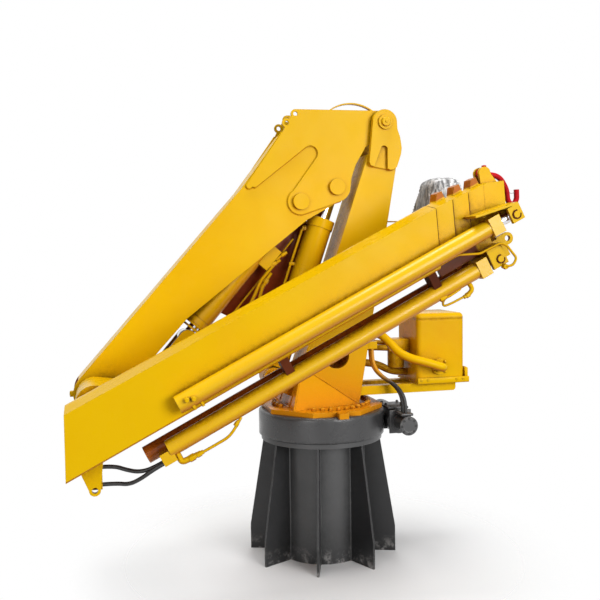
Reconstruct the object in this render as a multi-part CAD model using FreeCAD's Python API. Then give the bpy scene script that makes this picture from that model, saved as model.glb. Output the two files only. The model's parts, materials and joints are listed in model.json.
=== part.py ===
# Deck-mounted knuckle boom crane, folded for storage, standing on its pedestal.
# Millimetres. X runs along the folded booms, Y away from the jib side, Z up.
# The origin is on the slew axis, at the level of the pedestal's feet.
import FreeCAD, Part
import math
import os

V = FreeCAD.Vector

# Pedestal
tube_r = 240.0
tube_wall = 12.0
fin_count = 8
fin_first_deg = 71.0
fin_thick = 12.0
fin_foot_r = 413.0
fin_knee_z = 143.0
fin_top_r = 329.0
tube_top_z = 657.0
lip_inset = 13.0
lip_thick = 25.0
lip_bore_r = 180.0

# Slew ring and worm drive
ring_in_r = 190.0
ring_out_r = 262.0
ring_tall = 100.0
ring_gap = 0.4
seam_gap = 5.0
housing_r = 353.0
housing_tall = 136.0
housing_edge = 14.0
worm_x = 415.0
worm_z = 742.0
worm_r = 70.0
worm_front_y = -150.0
worm_back_y = 170.0
worm_cap_r = 52.0
worm_cap_len = 22.0
motor_r = 42.0
motor_len = 120.0
motor_flange_r = 56.0
motor_flange_len = 14.0
motor_port_r = 16.0
motor_port_tall = 18.0
motor_port_gap = 44.0

# Turret plate and column
plate_r = 344.0
plate_thick = 25.0
plate_tab_x = 24.0
plate_tab_wide = 52.0
plate_tab_reach = 15.0
plate_tab_drop = 30.0
column_half = 115.0
column_foot_left = -214.0
column_foot_right = 190.0
column_head_left = 254.0
column_head_right = 430.0
column_head_z = 2232.0
column_hole_x = 63.0
column_hole_z = 1120.0
column_hole_r = 70.0
column_hole_deep = 150.0
skirt_reach = 112.0
skirt_tall = 224.0

# Boom pivot at the column head
pivot_x = 344.0
pivot_rise = 173.0
cheek_thick = 30.0
cheek_r = 70.0
cheek_places = ((-92.0, -220.0), (-84.0, -238.0), (-70.0, -241.0), (19.0, -255.0), (30.0, -261.0),
                (46.0, -258.0), (68.0, -245.0), (92.0, -175.0), (97.0, -138.0), (88.0, -80.0), (72.0, -36.0))
cheek_notch_place = (-6.0, -148.0)
cheek_notch_r = 20.0
cheek_notch_wide = 66.0
cheek_skin = 10.0
pivot_pin_r = 32.0
pin_gap = 0.06
pin_head_r = 40.0
pin_head_thick = 12.0

# Inner boom; each place is (x, height over the pivot)
boom_half = 105.0
root_plate = 12.0
boom_plate = 13.0
boom_root_r = 68.0
head_ear_place = (-153.0, 37.0)
side_ear_place = (-202.0, -13.0)
ear_r = 25.0
ear_hole_r = 12.0
boom_back_place = (-230.0, -70.0)
boom_elbow_place = (-463.0, -377.0)
prong_tip_place = (-412.0, -350.0)
prong_r = 16.0
notch_top_place = (-72.0, -173.0)
notch_r = 42.0
notch_left_deg = 38.0
notch_right_deg = 53.6
notch_long = 370.0
boom_throat_place = (243.0, -134.0)
boom_neck_place = (186.0, -230.0)
boom_heel_place = (161.0, -301.0)
boom_toe_place = (-91.0, -532.0)
boom_waist_place = (-755.0, -1052.0)
boom_chin_place = (100.0, -427.0)
web_places = ((-20.0, -530.0), (-60.0, -795.0), (-180.0, -925.0), (-480.0, -1075.0), (-600.0, -1015.0))
boss_stand = 3.0
tip_boss_stand = 8.0
knuckle_x = -1240.0
knuckle_drop = 1425.0
boom_end_r = 108.0
root_boss_r = 62.0
tip_boss_r = 84.0
ram_pad_r = 70.0
lift_pad_r = 80.0
guard_wide = 26.0
guard_thick = 8.0
guard_left_x = 42.0
guard_right_x = 404.0
guard_rise = 77.0

# Lift cylinder between the column foot and the boom
lift_pin_x = 74.0
lift_pin_drop = 354.0
lift_foot_x = -285.0
lift_foot_z = 1010.0
lift_barrel_r = 72.0
lift_gland_r = 77.0
lift_gland_len = 52.0
lift_rod_shown = 181.0
lift_barrel_start = 62.0
lift_bore_floor = 92.0
lift_rod_r = 44.0
rod_gap = 0.4
lift_eye_r = 58.0
lift_eye_half = 46.0
lift_neck_r = 41.0
lift_pin_r = 33.0
lift_lug_thick = 22.0
lift_lug_gap = 3.0
lift_lug_r = 56.0
lift_root_x = -160.0
lift_root_drop = 60.0
boom_pin_head_r = 44.0
boom_pin_head = 22.0
lift_boss_gap = 4.0
rod_floor_gap = 5.0

# Knuckle cylinder under the inner boom and its links to the jib
ram_pin_x = -131.0
ram_pin_drop = 434.0
ram_deg = 229.6
ram_barrel_r = 60.0
ram_gland_r = 68.0
ram_gland_len = 46.0
ram_barrel_start = 40.0
ram_barrel_end = 880.0
ram_bore_floor = 190.0
ram_rod_r = 36.0
ram_eye_s = 958.0
ram_eye_r = 50.0
ram_eye_half = 40.0
ram_base_eye_r = 62.0
lever_s = 1303.5
link_half = 48.0
link_thick = 22.0
link_r = 48.0
lever_pin_r = 32.0
ear_half = 122.0
ear_thick = 28.0
ear_knuckle_r = 92.0
ear_lever_r = 58.0
tie_s = 1566.0
tie_t = 44.0
tie_r = 42.0
knuckle_pin_r = 42.0
valve_s = 335.0
valve_drop = 105.0
valve_long = 130.0
valve_half = 42.0

# Jib: base box and three telescopic sections, along the jib's own axis
jib_left_x = -1371.0
jib_left_drop = 127.0
jib_deg = 27.2
jib_centre_y = -550.0
jib_half = 130.0
jib_top = 136.0
jib_bottom = -158.0
jib_wall = 6.0
jib_len = 2012.0
jib_chamfer = 8.0
jib_shoulder = 18.0
jib_flat_half = 15.0
collar_lean_deg = 22.0
section_count = 3
section_side_step = 20.0
section_top_step = 11.0
section_bottom_step = 20.0
section_wall = 6.0
section_start = 150.0
section_start_step = 45.0
collar_len = 98.0
collar_gap = 6.0
collar_rim = 9.0
mouth_len = 60.0
slide_gap = 0.4
tip_len = 128.0
tip_fall = 41.0
stop_long = 60.0
stop_tall = 34.0
stop_half = 40.0
stop_sink = 12.0
jib_lug_x = -1247.0
jib_lug_drop = 250.0
jib_lug_r = 27.0
jib_lug_hole_r = 14.0
jib_lug_thick = 24.0
jib_lug_root_left = -20.0
jib_lug_root_right = 106.0

# Extension cylinders beside and below the jib
ext_barrel_r = 43.0
ext_rod_r = 25.0
ext_low_v = -268.0
ext_front_y = -618.0
ext_back_y = -505.0
ext_side_v = -86.0
ext_side_y = -731.0
ext_1_start = 378.0
ext_2_start = 514.0
ext_3_start = 272.0
ext_overhang = 122.0
ext_floor = 30.0
end_block_long = 64.0
end_block_half = 46.0
saddle_long = 44.0
saddle_half = 34.0
saddle_u = 1050.0
arm_thick = 20.0
arm_room = 10.0
rod_eye_r = 34.0
rod_eye_half = 30.0
rod_eye_ahead = 146.0
side_eye_ahead = 165.0
side_shelf_u = 235.0
side_shelf_v = 8.0
side_shelf_fall = 42.0
side_shelf_thick = 12.0
last_eye_back = 110.0
tie_eye_u = 53.0
tie_eye_v = -219.0
tie_eye_r = 32.0
tie_hole_r = 15.0

# Hook at the tip
hook_pin_back = 30.0
hook_pin_rise = 35.0
hook_lug_r = 32.0
hook_lug_thick = 18.0
hook_lug_left = 0.08
hook_lug_right = 0.85
hook_pin_r = 12.0
hook_body_r = 14.0
hook_eye_r = 27.0
hook_eye_half = 13.0
hook_side_gap = 4.0
hook_steps = [(0.0, 0.0), (100.0, -12.0), (142.0, -80.0), (148.0, -138.0), (174.0, -165.0), (200.0, -134.0),
              (198.0, -80.0)]

# Oil tank on its two bars
bar_half_gap = 62.0
bar_wide = 50.0
bar_top_z = 943.0
bar_tall = 50.0
bar_end_x = 775.0
tank_left_x = 524.0
tank_right_x = 810.0
tank_half_y = 155.0
tank_top_z = 1343.0
tank_round = 26.0
tank_wall = 6.0
tank_flange = 10.0
tank_flange_reach = 28.0
lid_thick = 32.0
lid_round = 24.0
pipe_r = 24.0
pipe_flange_r = 46.0
pipe_flange_thick = 12.0
pipe_port_x = 655.0
pipe_port_z = 1041.0
pipe_steps = [(0.0, -62.0, 0.0), (-95.0, -64.0, 32.0), (-195.0, -48.0, 60.0), (-250.0, -5.0, 90.0),
              (-285.0, 50.0, 145.0), (-325.0, 90.0, 190.0), (-420.0, 110.0, 205.0)]

# Seat under its dust film
seat_arm_z = 1760.0
seat_arm_tall = 60.0
seat_arm_half = 30.0
seat_arm_y = 60.0
seat_arm_end_x = 800.0
seat_left_x = 620.0
seat_right_x = 900.0
seat_half_y = 150.0
seat_top_z = 2140.0
seat_round = 70.0

# Hoses
hose_r = 10.0
bracket_left_x = -1262.0
bracket_right_x = -1212.0
bracket_rise = -3.0
bracket_thick = 26.0
port_u = 330.0
port_long = 64.0
port_half = 34.0
port_drop = 60.0
elbow_long = 62.0
elbow_low_z = 1150.0
elbow_high_z = 1192.0
elbow_front_y = -100.0
elbow_back_y = -20.0
hose_routes = {
    "jib_hose_upper": [(-1212, -525, 703), (-1156, -525, 703), (-1100, -542, 684), (-1045, -580, 680),
                       (-987.33, -603, 697.14), (-933.96, -603, 724.57)],
    "jib_hose_lower": [(-1212, -525, 620), (-1150, -525, 620), (-1090, -555, 618), (-1035, -600, 655),
                       (-987.33, -633, 697.14), (-933.96, -633, 724.57)],
    "slew_hose_1": [(281, -78, 1150), (281, -78, 1086), (298, -100, 1028), (330, -139, 988),
                    (366, -185, 964), (398, -224, 924), (415, -246, 866), (415, -246, 802)],
    "slew_hose_2": [(281, -42, 1150), (281, -42, 1086), (298, -63, 1028), (330, -101, 988),
                    (366, -145, 964), (398, -182, 924), (415, -202, 866), (415, -202, 802)],
}

# Worked-out levels and lines
lip_top_z = tube_top_z + lip_thick
lip_r = housing_r - lip_inset
housing_low_z = lip_top_z + seam_gap
housing_top_z = housing_low_z + housing_tall
plate_top_z = housing_top_z + plate_thick
pivot_z = column_head_z + pivot_rise
knuckle_z = pivot_z - knuckle_drop
lift_pin_z = pivot_z - lift_pin_drop
lift_barrel_end = math.hypot(lift_pin_x - lift_foot_x, lift_pin_z - lift_foot_z) - lift_rod_shown
ram_pin_z = pivot_z - ram_pin_drop
jib_left_z = knuckle_z - jib_left_drop
jib_lug_z = jib_left_z - jib_lug_drop
bracket_low_z = jib_lug_z + bracket_rise
jib_back_y = jib_centre_y + jib_half
jib_angle = math.radians(jib_deg)
collar_lean = math.tan(math.radians(collar_lean_deg))
ram_angle = math.radians(ram_deg)


def over_pivot(place):
    """A point of the inner boom, from its height over the pivot."""
    return place[0], pivot_z + place[1]


head_ear = over_pivot(head_ear_place)
side_ear = over_pivot(side_ear_place)
boom_back = over_pivot(boom_back_place)
boom_elbow = over_pivot(boom_elbow_place)
prong_tip = over_pivot(prong_tip_place)
notch_top = over_pivot(notch_top_place)
boom_throat = over_pivot(boom_throat_place)
boom_neck = over_pivot(boom_neck_place)
boom_heel = over_pivot(boom_heel_place)
boom_toe = over_pivot(boom_toe_place)
boom_waist = over_pivot(boom_waist_place)
boom_chin = over_pivot(boom_chin_place)


def save(name, *solids):
    """Write one node, from one solid or from several that do not touch."""
    shape = solids[0] if len(solids) == 1 else Part.makeCompound(list(solids))
    shape.exportStep("parts/" + name + ".step")


def block(x0, x1, y0, y1, z0, z1):
    """A straight box between two corners."""
    return Part.makeBox(x1 - x0, y1 - y0, z1 - z0, V(x0, y0, z0))


def rod_between(start, end, radius):
    """A round bar from one point to another."""
    way = end - start
    return Part.makeCylinder(radius, way.Length, start, way)


def pin_along_y(x, z, radius, y0, y1):
    """A round pin across the booms."""
    return Part.makeCylinder(radius, y1 - y0, V(x, y0, z), V(0, 1, 0))


def plate(outline, y0, y1):
    """A flat plate in the boom's plane; the outline is a list of (x, z) points."""
    points = [V(x, y0, z) for x, z in outline]
    face = Part.Face(Part.makePolygon(points + points[:1]))
    return face.extrude(V(0, y1 - y0, 0))


def both_sides(make, inner, outer):
    """The same plate on both sides of the boom's plane."""
    return make(-outer, -inner), make(inner, outer)


def tangent_plate(first, first_r, second, second_r, y0, y1):
    """A plate with two round ends and straight tangent edges between them."""
    (x0, z0), (x1, z1) = first, second
    span = math.hypot(x1 - x0, z1 - z0)
    heading = math.atan2(z1 - z0, x1 - x0)
    open_angle = math.acos((first_r - second_r) / span)
    corners = []
    for turn, (x, z), radius in ((1, first, first_r), (1, second, second_r),
                                 (-1, second, second_r), (-1, first, first_r)):
        angle = heading + turn * open_angle
        corners.append((x + radius * math.cos(angle), z + radius * math.sin(angle)))
    body = plate(corners, y0, y1)
    ends = [pin_along_y(x0, z0, first_r, y0, y1), pin_along_y(x1, z1, second_r, y0, y1)]
    return body.multiFuse(ends).removeSplitter()


def prism(first, second):
    """A solid between two outlines with as many corners, joined by flat sides."""
    count = len(first)
    faces = [Part.Face(Part.makePolygon(first + first[:1])),
             Part.Face(Part.makePolygon(second + second[:1]))]
    for here in range(count):
        there = (here + 1) % count
        side = [first[here], first[there], second[there], second[here]]
        faces.append(Part.Face(Part.makePolygon(side + side[:1])))
    solid = Part.makeSolid(Part.makeShell(faces))
    if solid.Volume < 0:
        solid.reverse()
    return solid


def arc_route(points, share=0.45):
    """Straight runs joined by tangent arcs as large as the shorter run allows."""
    edges = []
    radii = []
    last = points[0]
    for before, corner, after in zip(points, points[1:], points[2:]):
        back = before - corner
        ahead = after - corner
        reach = share * min(back.Length, ahead.Length)
        half_turn = (math.pi - back.getAngle(ahead)) / 2
        radii.append(reach / math.tan(half_turn))
        back.normalize()
        ahead.normalize()
        start = corner + back * reach
        end = corner + ahead * reach
        bisector = back + ahead
        bisector.normalize()
        middle = corner + bisector * (radii[-1] / math.cos(half_turn) - radii[-1])
        edges.append(Part.LineSegment(last, start).toShape())
        edges.append(Part.Arc(start, middle, end).toShape())
        last = end
    edges.append(Part.LineSegment(last, points[-1]).toShape())
    return Part.Wire(edges), radii


def tube_along(points, radius, share=0.45):
    """A round tube along a route of straight runs and arcs."""
    path, radii = arc_route(points, share)
    ring = Part.Wire(Part.Circle(points[0], points[1] - points[0], radius).toShape())
    tube = path.makePipeShell([ring], True, False)
    return tube, path.Length, radii


def jib_at(u, y, v):
    """A point by its place along the jib, across it and above its centre line."""
    x = jib_left_x + u * math.cos(jib_angle) - v * math.sin(jib_angle)
    z = jib_left_z + u * math.sin(jib_angle) + v * math.cos(jib_angle)
    return V(x, y, z)


def jib_block(u0, u1, y0, y1, v0, v1):
    """A box that lies square with the jib."""
    box = block(u0, u1, y0, y1, v0, v1)
    box.rotate(V(0, 0, 0), V(0, 1, 0), -jib_deg)
    box.translate(V(jib_left_x, 0, jib_left_z))
    return box


def jib_rod(u0, u1, y, v, radius):
    """A round bar along the jib."""
    return rod_between(jib_at(u0, y, v), jib_at(u1, y, v), radius)


def ram_at(s, t, y=0.0):
    """A point by its place along the knuckle cylinder and towards the boom's back."""
    x = ram_pin_x + s * math.cos(ram_angle) + t * math.sin(ram_angle)
    z = ram_pin_z + s * math.sin(ram_angle) - t * math.cos(ram_angle)
    return V(x, y, z)


def flat(point):
    """The (x, z) place of a point."""
    return point.x, point.z


# Pedestal: centre tube, radial fins, lip and the fixed ring of the slew bearing
def make_pedestal():
    outer = Part.makeCylinder(tube_r, tube_top_z)
    bore = Part.makeCylinder(tube_r - tube_wall, tube_top_z)
    save("pedestal_tube", outer.cut(bore))
    outline = [(0, 0), (fin_foot_r, 0), (fin_foot_r, fin_knee_z), (fin_top_r, tube_top_z), (0, tube_top_z)]
    fins = []
    for number in range(fin_count):
        fin = plate(outline, -fin_thick / 2, fin_thick / 2).cut(outer)
        fin.rotate(V(0, 0, 0), V(0, 0, 1), fin_first_deg + number * 360.0 / fin_count)
        fins.append(fin)
    save("pedestal_fins", *fins)
    lip = Part.makeCylinder(lip_r, lip_thick, V(0, 0, tube_top_z))
    save("pedestal_lip", lip.cut(Part.makeCylinder(lip_bore_r, lip_thick, V(0, 0, tube_top_z))))
    ring = Part.makeCylinder(ring_out_r, ring_tall, V(0, 0, lip_top_z))
    save("slew_ring", ring.cut(Part.makeCylinder(ring_in_r, ring_tall, V(0, 0, lip_top_z))))


# Slew drive: round housing, worm casing on its right and the hydraulic motor
def make_slew_drive():
    body = Part.makeCylinder(housing_r, housing_tall, V(0, 0, housing_low_z))
    rims = [edge for edge in body.Edges if abs(edge.CenterOfMass.z - housing_top_z) < 1 and edge.Closed]
    body = body.makeFillet(housing_edge, rims)
    cavity_tall = lip_top_z + ring_tall + ring_gap - housing_low_z
    cavity = Part.makeCylinder(ring_out_r + ring_gap, cavity_tall, V(0, 0, housing_low_z))
    save("slew_housing", body.cut(cavity))
    drum = Part.makeCylinder(housing_r, housing_tall, V(0, 0, housing_low_z))
    casing = pin_along_y(worm_x, worm_z, worm_r, worm_front_y, worm_back_y)
    web = block(housing_r / 2, worm_x, worm_front_y / 2, worm_back_y / 2,
                housing_low_z, worm_z + worm_r / 2)
    cap = pin_along_y(worm_x, worm_z, worm_cap_r, worm_back_y, worm_back_y + worm_cap_len)
    save("worm_gearbox", casing.multiFuse([web, cap]).cut(drum).removeSplitter())
    flange_y = worm_front_y - motor_flange_len
    flange = pin_along_y(worm_x, worm_z, motor_flange_r, flange_y, worm_front_y)
    motor = pin_along_y(worm_x, worm_z, motor_r, flange_y - motor_len, flange_y)
    ports = []
    for y in motor_port_ys():
        ports.append(Part.makeCylinder(motor_port_r, motor_r + motor_port_tall, V(worm_x, y, worm_z)))
    save("slew_motor", motor.multiFuse([flange] + ports).removeSplitter())


def motor_port_ys():
    """Where the motor's two hose ports stand."""
    middle = worm_front_y - motor_flange_len - motor_len / 2
    return middle - motor_port_gap / 2, middle + motor_port_gap / 2


# Turret: base plate and the leaning box column with its foot ribs
def make_turret():
    corners = []
    for number in range(8):
        angle = math.radians(22.5 + 45 * number)
        corners.append(V(plate_r * math.cos(angle), plate_r * math.sin(angle), housing_top_z))
    base = Part.Face(Part.makePolygon(corners + corners[:1])).extrude(V(0, 0, plate_thick))
    edge_y = -plate_r * math.cos(math.radians(22.5))
    tab_front = -housing_r - plate_tab_reach
    tab_x0 = plate_tab_x - plate_tab_wide / 2
    tab = block(tab_x0, tab_x0 + plate_tab_wide, tab_front, edge_y + plate_thick,
                plate_top_z - plate_tab_drop, plate_top_z)
    drum = Part.makeCylinder(housing_r, housing_tall, V(0, 0, housing_low_z))
    save("turret_plate", base.fuse(tab.cut(drum)).removeSplitter())
    hole_end = column_hole_deep - column_half
    hole = pin_along_y(column_hole_x, column_hole_z, column_hole_r, -column_half, hole_end)
    save("column_box", column_solid().cut(hole))
    make_skirts()


def column_solid():
    """The leaning column as a plain tapered box."""
    outline = [(column_foot_left, plate_top_z), (column_foot_right, plate_top_z),
               (column_head_right, column_head_z), (column_head_left, column_head_z)]
    return plate(outline, -column_half, column_half)


def make_skirts():
    """Flared skirts that widen the column's foot on the plate, front and back."""
    share = skirt_tall / (column_head_z - plate_top_z)
    high_x = column_foot_left + share * (column_head_left - column_foot_left)
    skirts = []
    for side in (-1, 1):
        face_y = side * column_half
        left = V(column_foot_left, face_y, plate_top_z)
        right = V(column_foot_right, face_y, plate_top_z)
        top = V(high_x, face_y, plate_top_z + skirt_tall)
        toe = V(column_foot_left, face_y + side * skirt_reach, plate_top_z)
        faces = []
        for corners in ((left, right, top), (left, top, toe), (left, toe, right), (right, toe, top)):
            faces.append(Part.Face(Part.makePolygon(corners + corners[:1])))
        skirts.append(Part.Solid(Part.makeShell(faces)))
    save("column_skirts", *skirts)


# Column head: two forked cheeks and the boom's pivot pin
def make_column_head():
    outline = [(pivot_x - cheek_r, pivot_z)]
    for x, z in cheek_places:
        outline.append((pivot_x + x, pivot_z + z))
    outline.append((pivot_x + cheek_r, pivot_z))
    notch_x = pivot_x + cheek_notch_place[0]
    notch_z = pivot_z + cheek_notch_place[1]
    low_z = pivot_z + min(z for x, z in cheek_places) - 1
    slot = [(notch_x - cheek_notch_r, notch_z), (notch_x + cheek_notch_r, notch_z),
            (notch_x + cheek_notch_r, low_z), (notch_x - cheek_notch_wide, low_z)]

    def cheek(y0, y1):
        round_top = pin_along_y(pivot_x, pivot_z, cheek_r, y0, y1)
        near = y0 if y0 < 0 else y0 + cheek_skin
        far = near + cheek_thick - cheek_skin
        gap = plate(slot, near, far).fuse(pin_along_y(notch_x, notch_z, cheek_notch_r, near, far))
        bore = pin_along_y(pivot_x, pivot_z, pivot_pin_r, y0, y1)
        return plate(outline, y0, y1).fuse(round_top).removeSplitter().cut(gap).cut(bore)

    outer = column_half + cheek_thick
    save("column_cheeks", *both_sides(cheek, column_half, outer))
    pin = pin_along_y(pivot_x, pivot_z, pivot_pin_r, -outer, outer)
    heads = [pin_along_y(pivot_x, pivot_z, pin_head_r, -outer - pin_head_thick, -outer),
             pin_along_y(pivot_x, pivot_z, pin_head_r, outer, outer + pin_head_thick)]
    save("pivot_pin", pin.multiFuse(heads).removeSplitter())


# Lift cylinder foot: two lugs on the column's left face and their pin
def make_lift_foot():
    inner = lift_eye_half + lift_lug_gap
    outer = inner + lift_lug_thick
    root = (lift_root_x, lift_foot_z - lift_root_drop)

    def lug(y0, y1):
        body = tangent_plate((lift_foot_x, lift_foot_z), lift_lug_r, root, lift_lug_r, y0, y1)
        bore = pin_along_y(lift_foot_x, lift_foot_z, lift_pin_r, y0, y1)
        return body.cut(column_solid()).cut(bore)

    save("lift_foot_lugs", *both_sides(lug, inner, outer))
    pin = pin_along_y(lift_foot_x, lift_foot_z, lift_pin_r, -outer, outer)
    heads = [pin_along_y(lift_foot_x, lift_foot_z, pin_head_r, -outer - pin_head_thick, -outer),
             pin_along_y(lift_foot_x, lift_foot_z, pin_head_r, outer, outer + pin_head_thick)]
    save("lift_foot_pin", pin.multiFuse(heads).removeSplitter())


# Oil tank on two bars, with its flange, lid and suction pipe
def make_tank():
    bars = []
    for y0 in (-bar_half_gap - bar_wide, bar_half_gap):
        bar = block(0, bar_end_x, y0, y0 + bar_wide, bar_top_z - bar_tall, bar_top_z)
        low_z = bar_top_z - bar_tall
        ends = [edge for edge in bar.Edges
                if edge.CenterOfMass.x > bar_end_x - 1 and edge.CenterOfMass.z < low_z + 1]
        bars.append(bar.makeFillet(bar_tall / 3, ends).cut(column_solid()))
    save("tank_bars", *bars)
    floor_z = bar_top_z + tank_flange
    shelf_end = tank_right_x + tank_flange_reach
    shelf = block(tank_left_x, shelf_end, -tank_half_y, tank_half_y, bar_top_z, floor_z)
    save("tank_shelf", shelf)
    rim_z = tank_top_z - lid_thick
    outer = rounded_box(tank_left_x, tank_right_x, tank_half_y, floor_z, rim_z, tank_round)
    inner = rounded_box(tank_left_x + tank_wall, tank_right_x - tank_wall, tank_half_y - tank_wall,
                        floor_z + tank_wall, rim_z, tank_round - tank_wall)
    save("tank_shell", outer.cut(inner))
    lid = rounded_box(tank_left_x, tank_right_x, tank_half_y, rim_z, tank_top_z, tank_round)
    rim = [edge for edge in lid.Edges if edge.BoundBox.ZMin > tank_top_z - 1]
    save("tank_lid", lid.makeFillet(lid_round, rim))
    make_suction_pipe()


def rounded_box(x0, x1, half_y, z0, z1, radius):
    """A box with its four upright edges rounded."""
    box = block(x0, x1, -half_y, half_y, z0, z1)
    upright = [edge for edge in box.Edges if abs(edge.Vertexes[0].Z - edge.Vertexes[1].Z) > 1]
    return box.makeFillet(radius, upright)


def make_suction_pipe():
    """A bent pipe from the tank's front to the column's right side."""
    front_y = -tank_half_y - pipe_flange_thick
    flange = pin_along_y(pipe_port_x, pipe_port_z, pipe_flange_r, front_y, -tank_half_y)
    start = V(pipe_port_x, front_y, pipe_port_z)
    route = [start] + [start + V(x, y, z) for x, y, z in pipe_steps]
    pipe = tube_along(route, pipe_r)[0]
    save("suction_pipe", pipe.fuse(flange).cut(column_solid()))


# Seat on its arm, wrapped in dust film
def make_seat():
    arm = block(0, seat_arm_end_x, seat_arm_y - seat_arm_half, seat_arm_y + seat_arm_half,
                seat_arm_z, seat_arm_z + seat_arm_tall)
    box = column_solid()
    right_side = arm.cut(box)
    pieces = sorted(right_side.Solids, key=lambda solid: solid.CenterOfMass.x)
    save("seat_arm", pieces[-1])
    low_z = seat_arm_z + seat_arm_tall
    wrap = block(seat_left_x, seat_right_x, seat_arm_y - seat_half_y, seat_arm_y + seat_half_y,
                 low_z, seat_top_z)
    edges = [edge for edge in wrap.Edges if edge.CenterOfMass.z > low_z + 1]
    save("seat_wrap", wrap.makeFillet(seat_round, edges))


# Inner boom: notched root plates over a box of side plates and cover plates
def knuckle_s():
    """The knuckle pin's place along the knuckle cylinder's line."""
    return ((knuckle_x - ram_pin_x) * math.cos(ram_angle) + (knuckle_z - ram_pin_z) * math.sin(ram_angle))


def knuckle_t():
    """The knuckle pin's distance from the knuckle cylinder's line."""
    return ((knuckle_x - ram_pin_x) * math.sin(ram_angle) - (knuckle_z - ram_pin_z) * math.cos(ram_angle))


def notch(y0, y1):
    """The open wedge between the root plate's two prongs, round at its top."""
    left = math.radians(notch_left_deg)
    right = math.radians(notch_right_deg)
    x, z = notch_top
    upper = (x - notch_r * math.sin(left), z + notch_r * math.cos(left))
    lower = (x + notch_r * math.sin(right), z - notch_r * math.cos(right))
    outline = [upper, lower,
               (lower[0] - notch_long * math.cos(right), lower[1] - notch_long * math.sin(right)),
               (upper[0] - notch_long * math.cos(left), upper[1] - notch_long * math.sin(left))]
    return plate(outline, y0, y1).fuse(pin_along_y(x, z, notch_r, y0, y1)).removeSplitter()


def root_side(y0, y1):
    """One root plate: ears at the head, the pivot's round end and the pads of both pins."""
    ram_pin = (ram_pin_x, ram_pin_z)
    lift_pin = (lift_pin_x, lift_pin_z)
    body = plate([boom_back, side_ear, (head_ear[0], head_ear[1] + ear_r), (pivot_x, pivot_z + boom_root_r),
                  (pivot_x, pivot_z - boom_root_r), boom_throat, boom_neck, boom_heel,
                  (lift_pin_x + lift_pad_r, lift_pin_z), lift_pin, ram_pin, prong_tip], y0, y1)
    back = (boom_back[0] + prong_r, boom_back[1])
    prong = tangent_plate(prong_tip, prong_r, back, prong_r, y0, y1)
    rounds = [pin_along_y(head_ear[0], head_ear[1], ear_r, y0, y1),
              pin_along_y(side_ear[0], side_ear[1], ear_r, y0, y1),
              pin_along_y(pivot_x, pivot_z, boom_root_r, y0, y1)]
    body = body.multiFuse([prong] + rounds).cut(notch(y0, y1))
    body = body.fuse(tangent_plate(ram_pin, ram_pad_r, lift_pin, lift_pad_r, y0, y1)).removeSplitter()
    for x, z in (head_ear, side_ear):
        body = body.cut(pin_along_y(x, z, ear_hole_r, y0, y1))
    return body.cut(pin_along_y(pivot_x, pivot_z, root_boss_r, y0, y1))


def box_side(y0, y1):
    """One side plate of the boom's box, from under the root plate to the knuckle."""
    end_back = ram_at(knuckle_s(), knuckle_t() + boom_end_r)
    end_front = ram_at(knuckle_s(), knuckle_t() - boom_end_r)
    outline = [flat(end_front), boom_waist, boom_toe, boom_chin, (boom_chin[0], boom_back[1]),
               boom_back, boom_elbow, flat(end_back)]
    round_end = pin_along_y(knuckle_x, knuckle_z, boom_end_r, y0, y1)
    body = plate(outline, y0, y1).fuse(round_end).removeSplitter()
    return body.cut(pin_along_y(knuckle_x, knuckle_z, tip_boss_r, y0, y1))


def make_boom():
    box_half = boom_half - root_plate
    inner = box_half - boom_plate
    save("boom_root_plates", *both_sides(root_side, box_half, boom_half))
    web = plate([boom_toe] + [over_pivot(place) for place in web_places] + [boom_waist], inner, box_half)
    far_side = box_side(inner, box_half).fuse(web).removeSplitter()
    save("boom_side_plates", box_side(-box_half, -inner), far_side)
    end_back = flat(ram_at(knuckle_s(), knuckle_t() + boom_end_r))
    end_front = flat(ram_at(knuckle_s() - boom_end_r, knuckle_t() - boom_end_r))
    save("boom_back_plate", strip(end_back, boom_elbow, boom_plate, -1, inner))
    save("boom_upper_plate", strip(boom_elbow, boom_back, boom_plate, -1, inner))
    save("boom_belly_plate", strip(end_front, boom_waist, boom_plate, 1, inner))
    root_end = boom_half + boss_stand
    root = pin_along_y(pivot_x, pivot_z, root_boss_r, -root_end, root_end)
    root_bore = pin_along_y(pivot_x, pivot_z, pivot_pin_r + pin_gap, -root_end, root_end)
    save("boom_root_boss", root.cut(root_bore))
    tip_end = boom_half + tip_boss_stand
    tip = pin_along_y(knuckle_x, knuckle_z, tip_boss_r, -tip_end, tip_end)
    tip_bore = pin_along_y(knuckle_x, knuckle_z, knuckle_pin_r + pin_gap, -tip_end, tip_end)
    save("boom_tip_boss", tip.cut(tip_bore))
    make_boom_pins(inner)
    make_hose_guard()


def strip(first, second, thick, side, half):
    """A cover plate along an edge of the boom, between its side plates."""
    (x0, z0), (x1, z1) = first, second
    span = math.hypot(x1 - x0, z1 - z0)
    step_x = -side * (z1 - z0) / span * thick
    step_z = side * (x1 - x0) / span * thick
    outline = [first, second, (x1 + step_x, z1 + step_z), (x0 + step_x, z0 + step_z)]
    return plate(outline, -half, half)


def make_boom_pins(inner):
    """Pin heads on the root plates and the bosses beside the lift cylinder's rod eye."""
    pieces = []
    for x, z in ((lift_pin_x, lift_pin_z), (ram_pin_x, ram_pin_z)):
        pieces.append(pin_along_y(x, z, boom_pin_head_r, -boom_half - boom_pin_head, -boom_half))
        pieces.append(pin_along_y(x, z, boom_pin_head_r, boom_half, boom_half + boom_pin_head))
    near = lift_eye_half + lift_boss_gap
    for y0, y1 in ((-inner, -near), (near, inner)):
        pieces.append(pin_along_y(lift_pin_x, lift_pin_z, lift_eye_r, y0, y1))
    save("boom_pins", *pieces)


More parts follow.
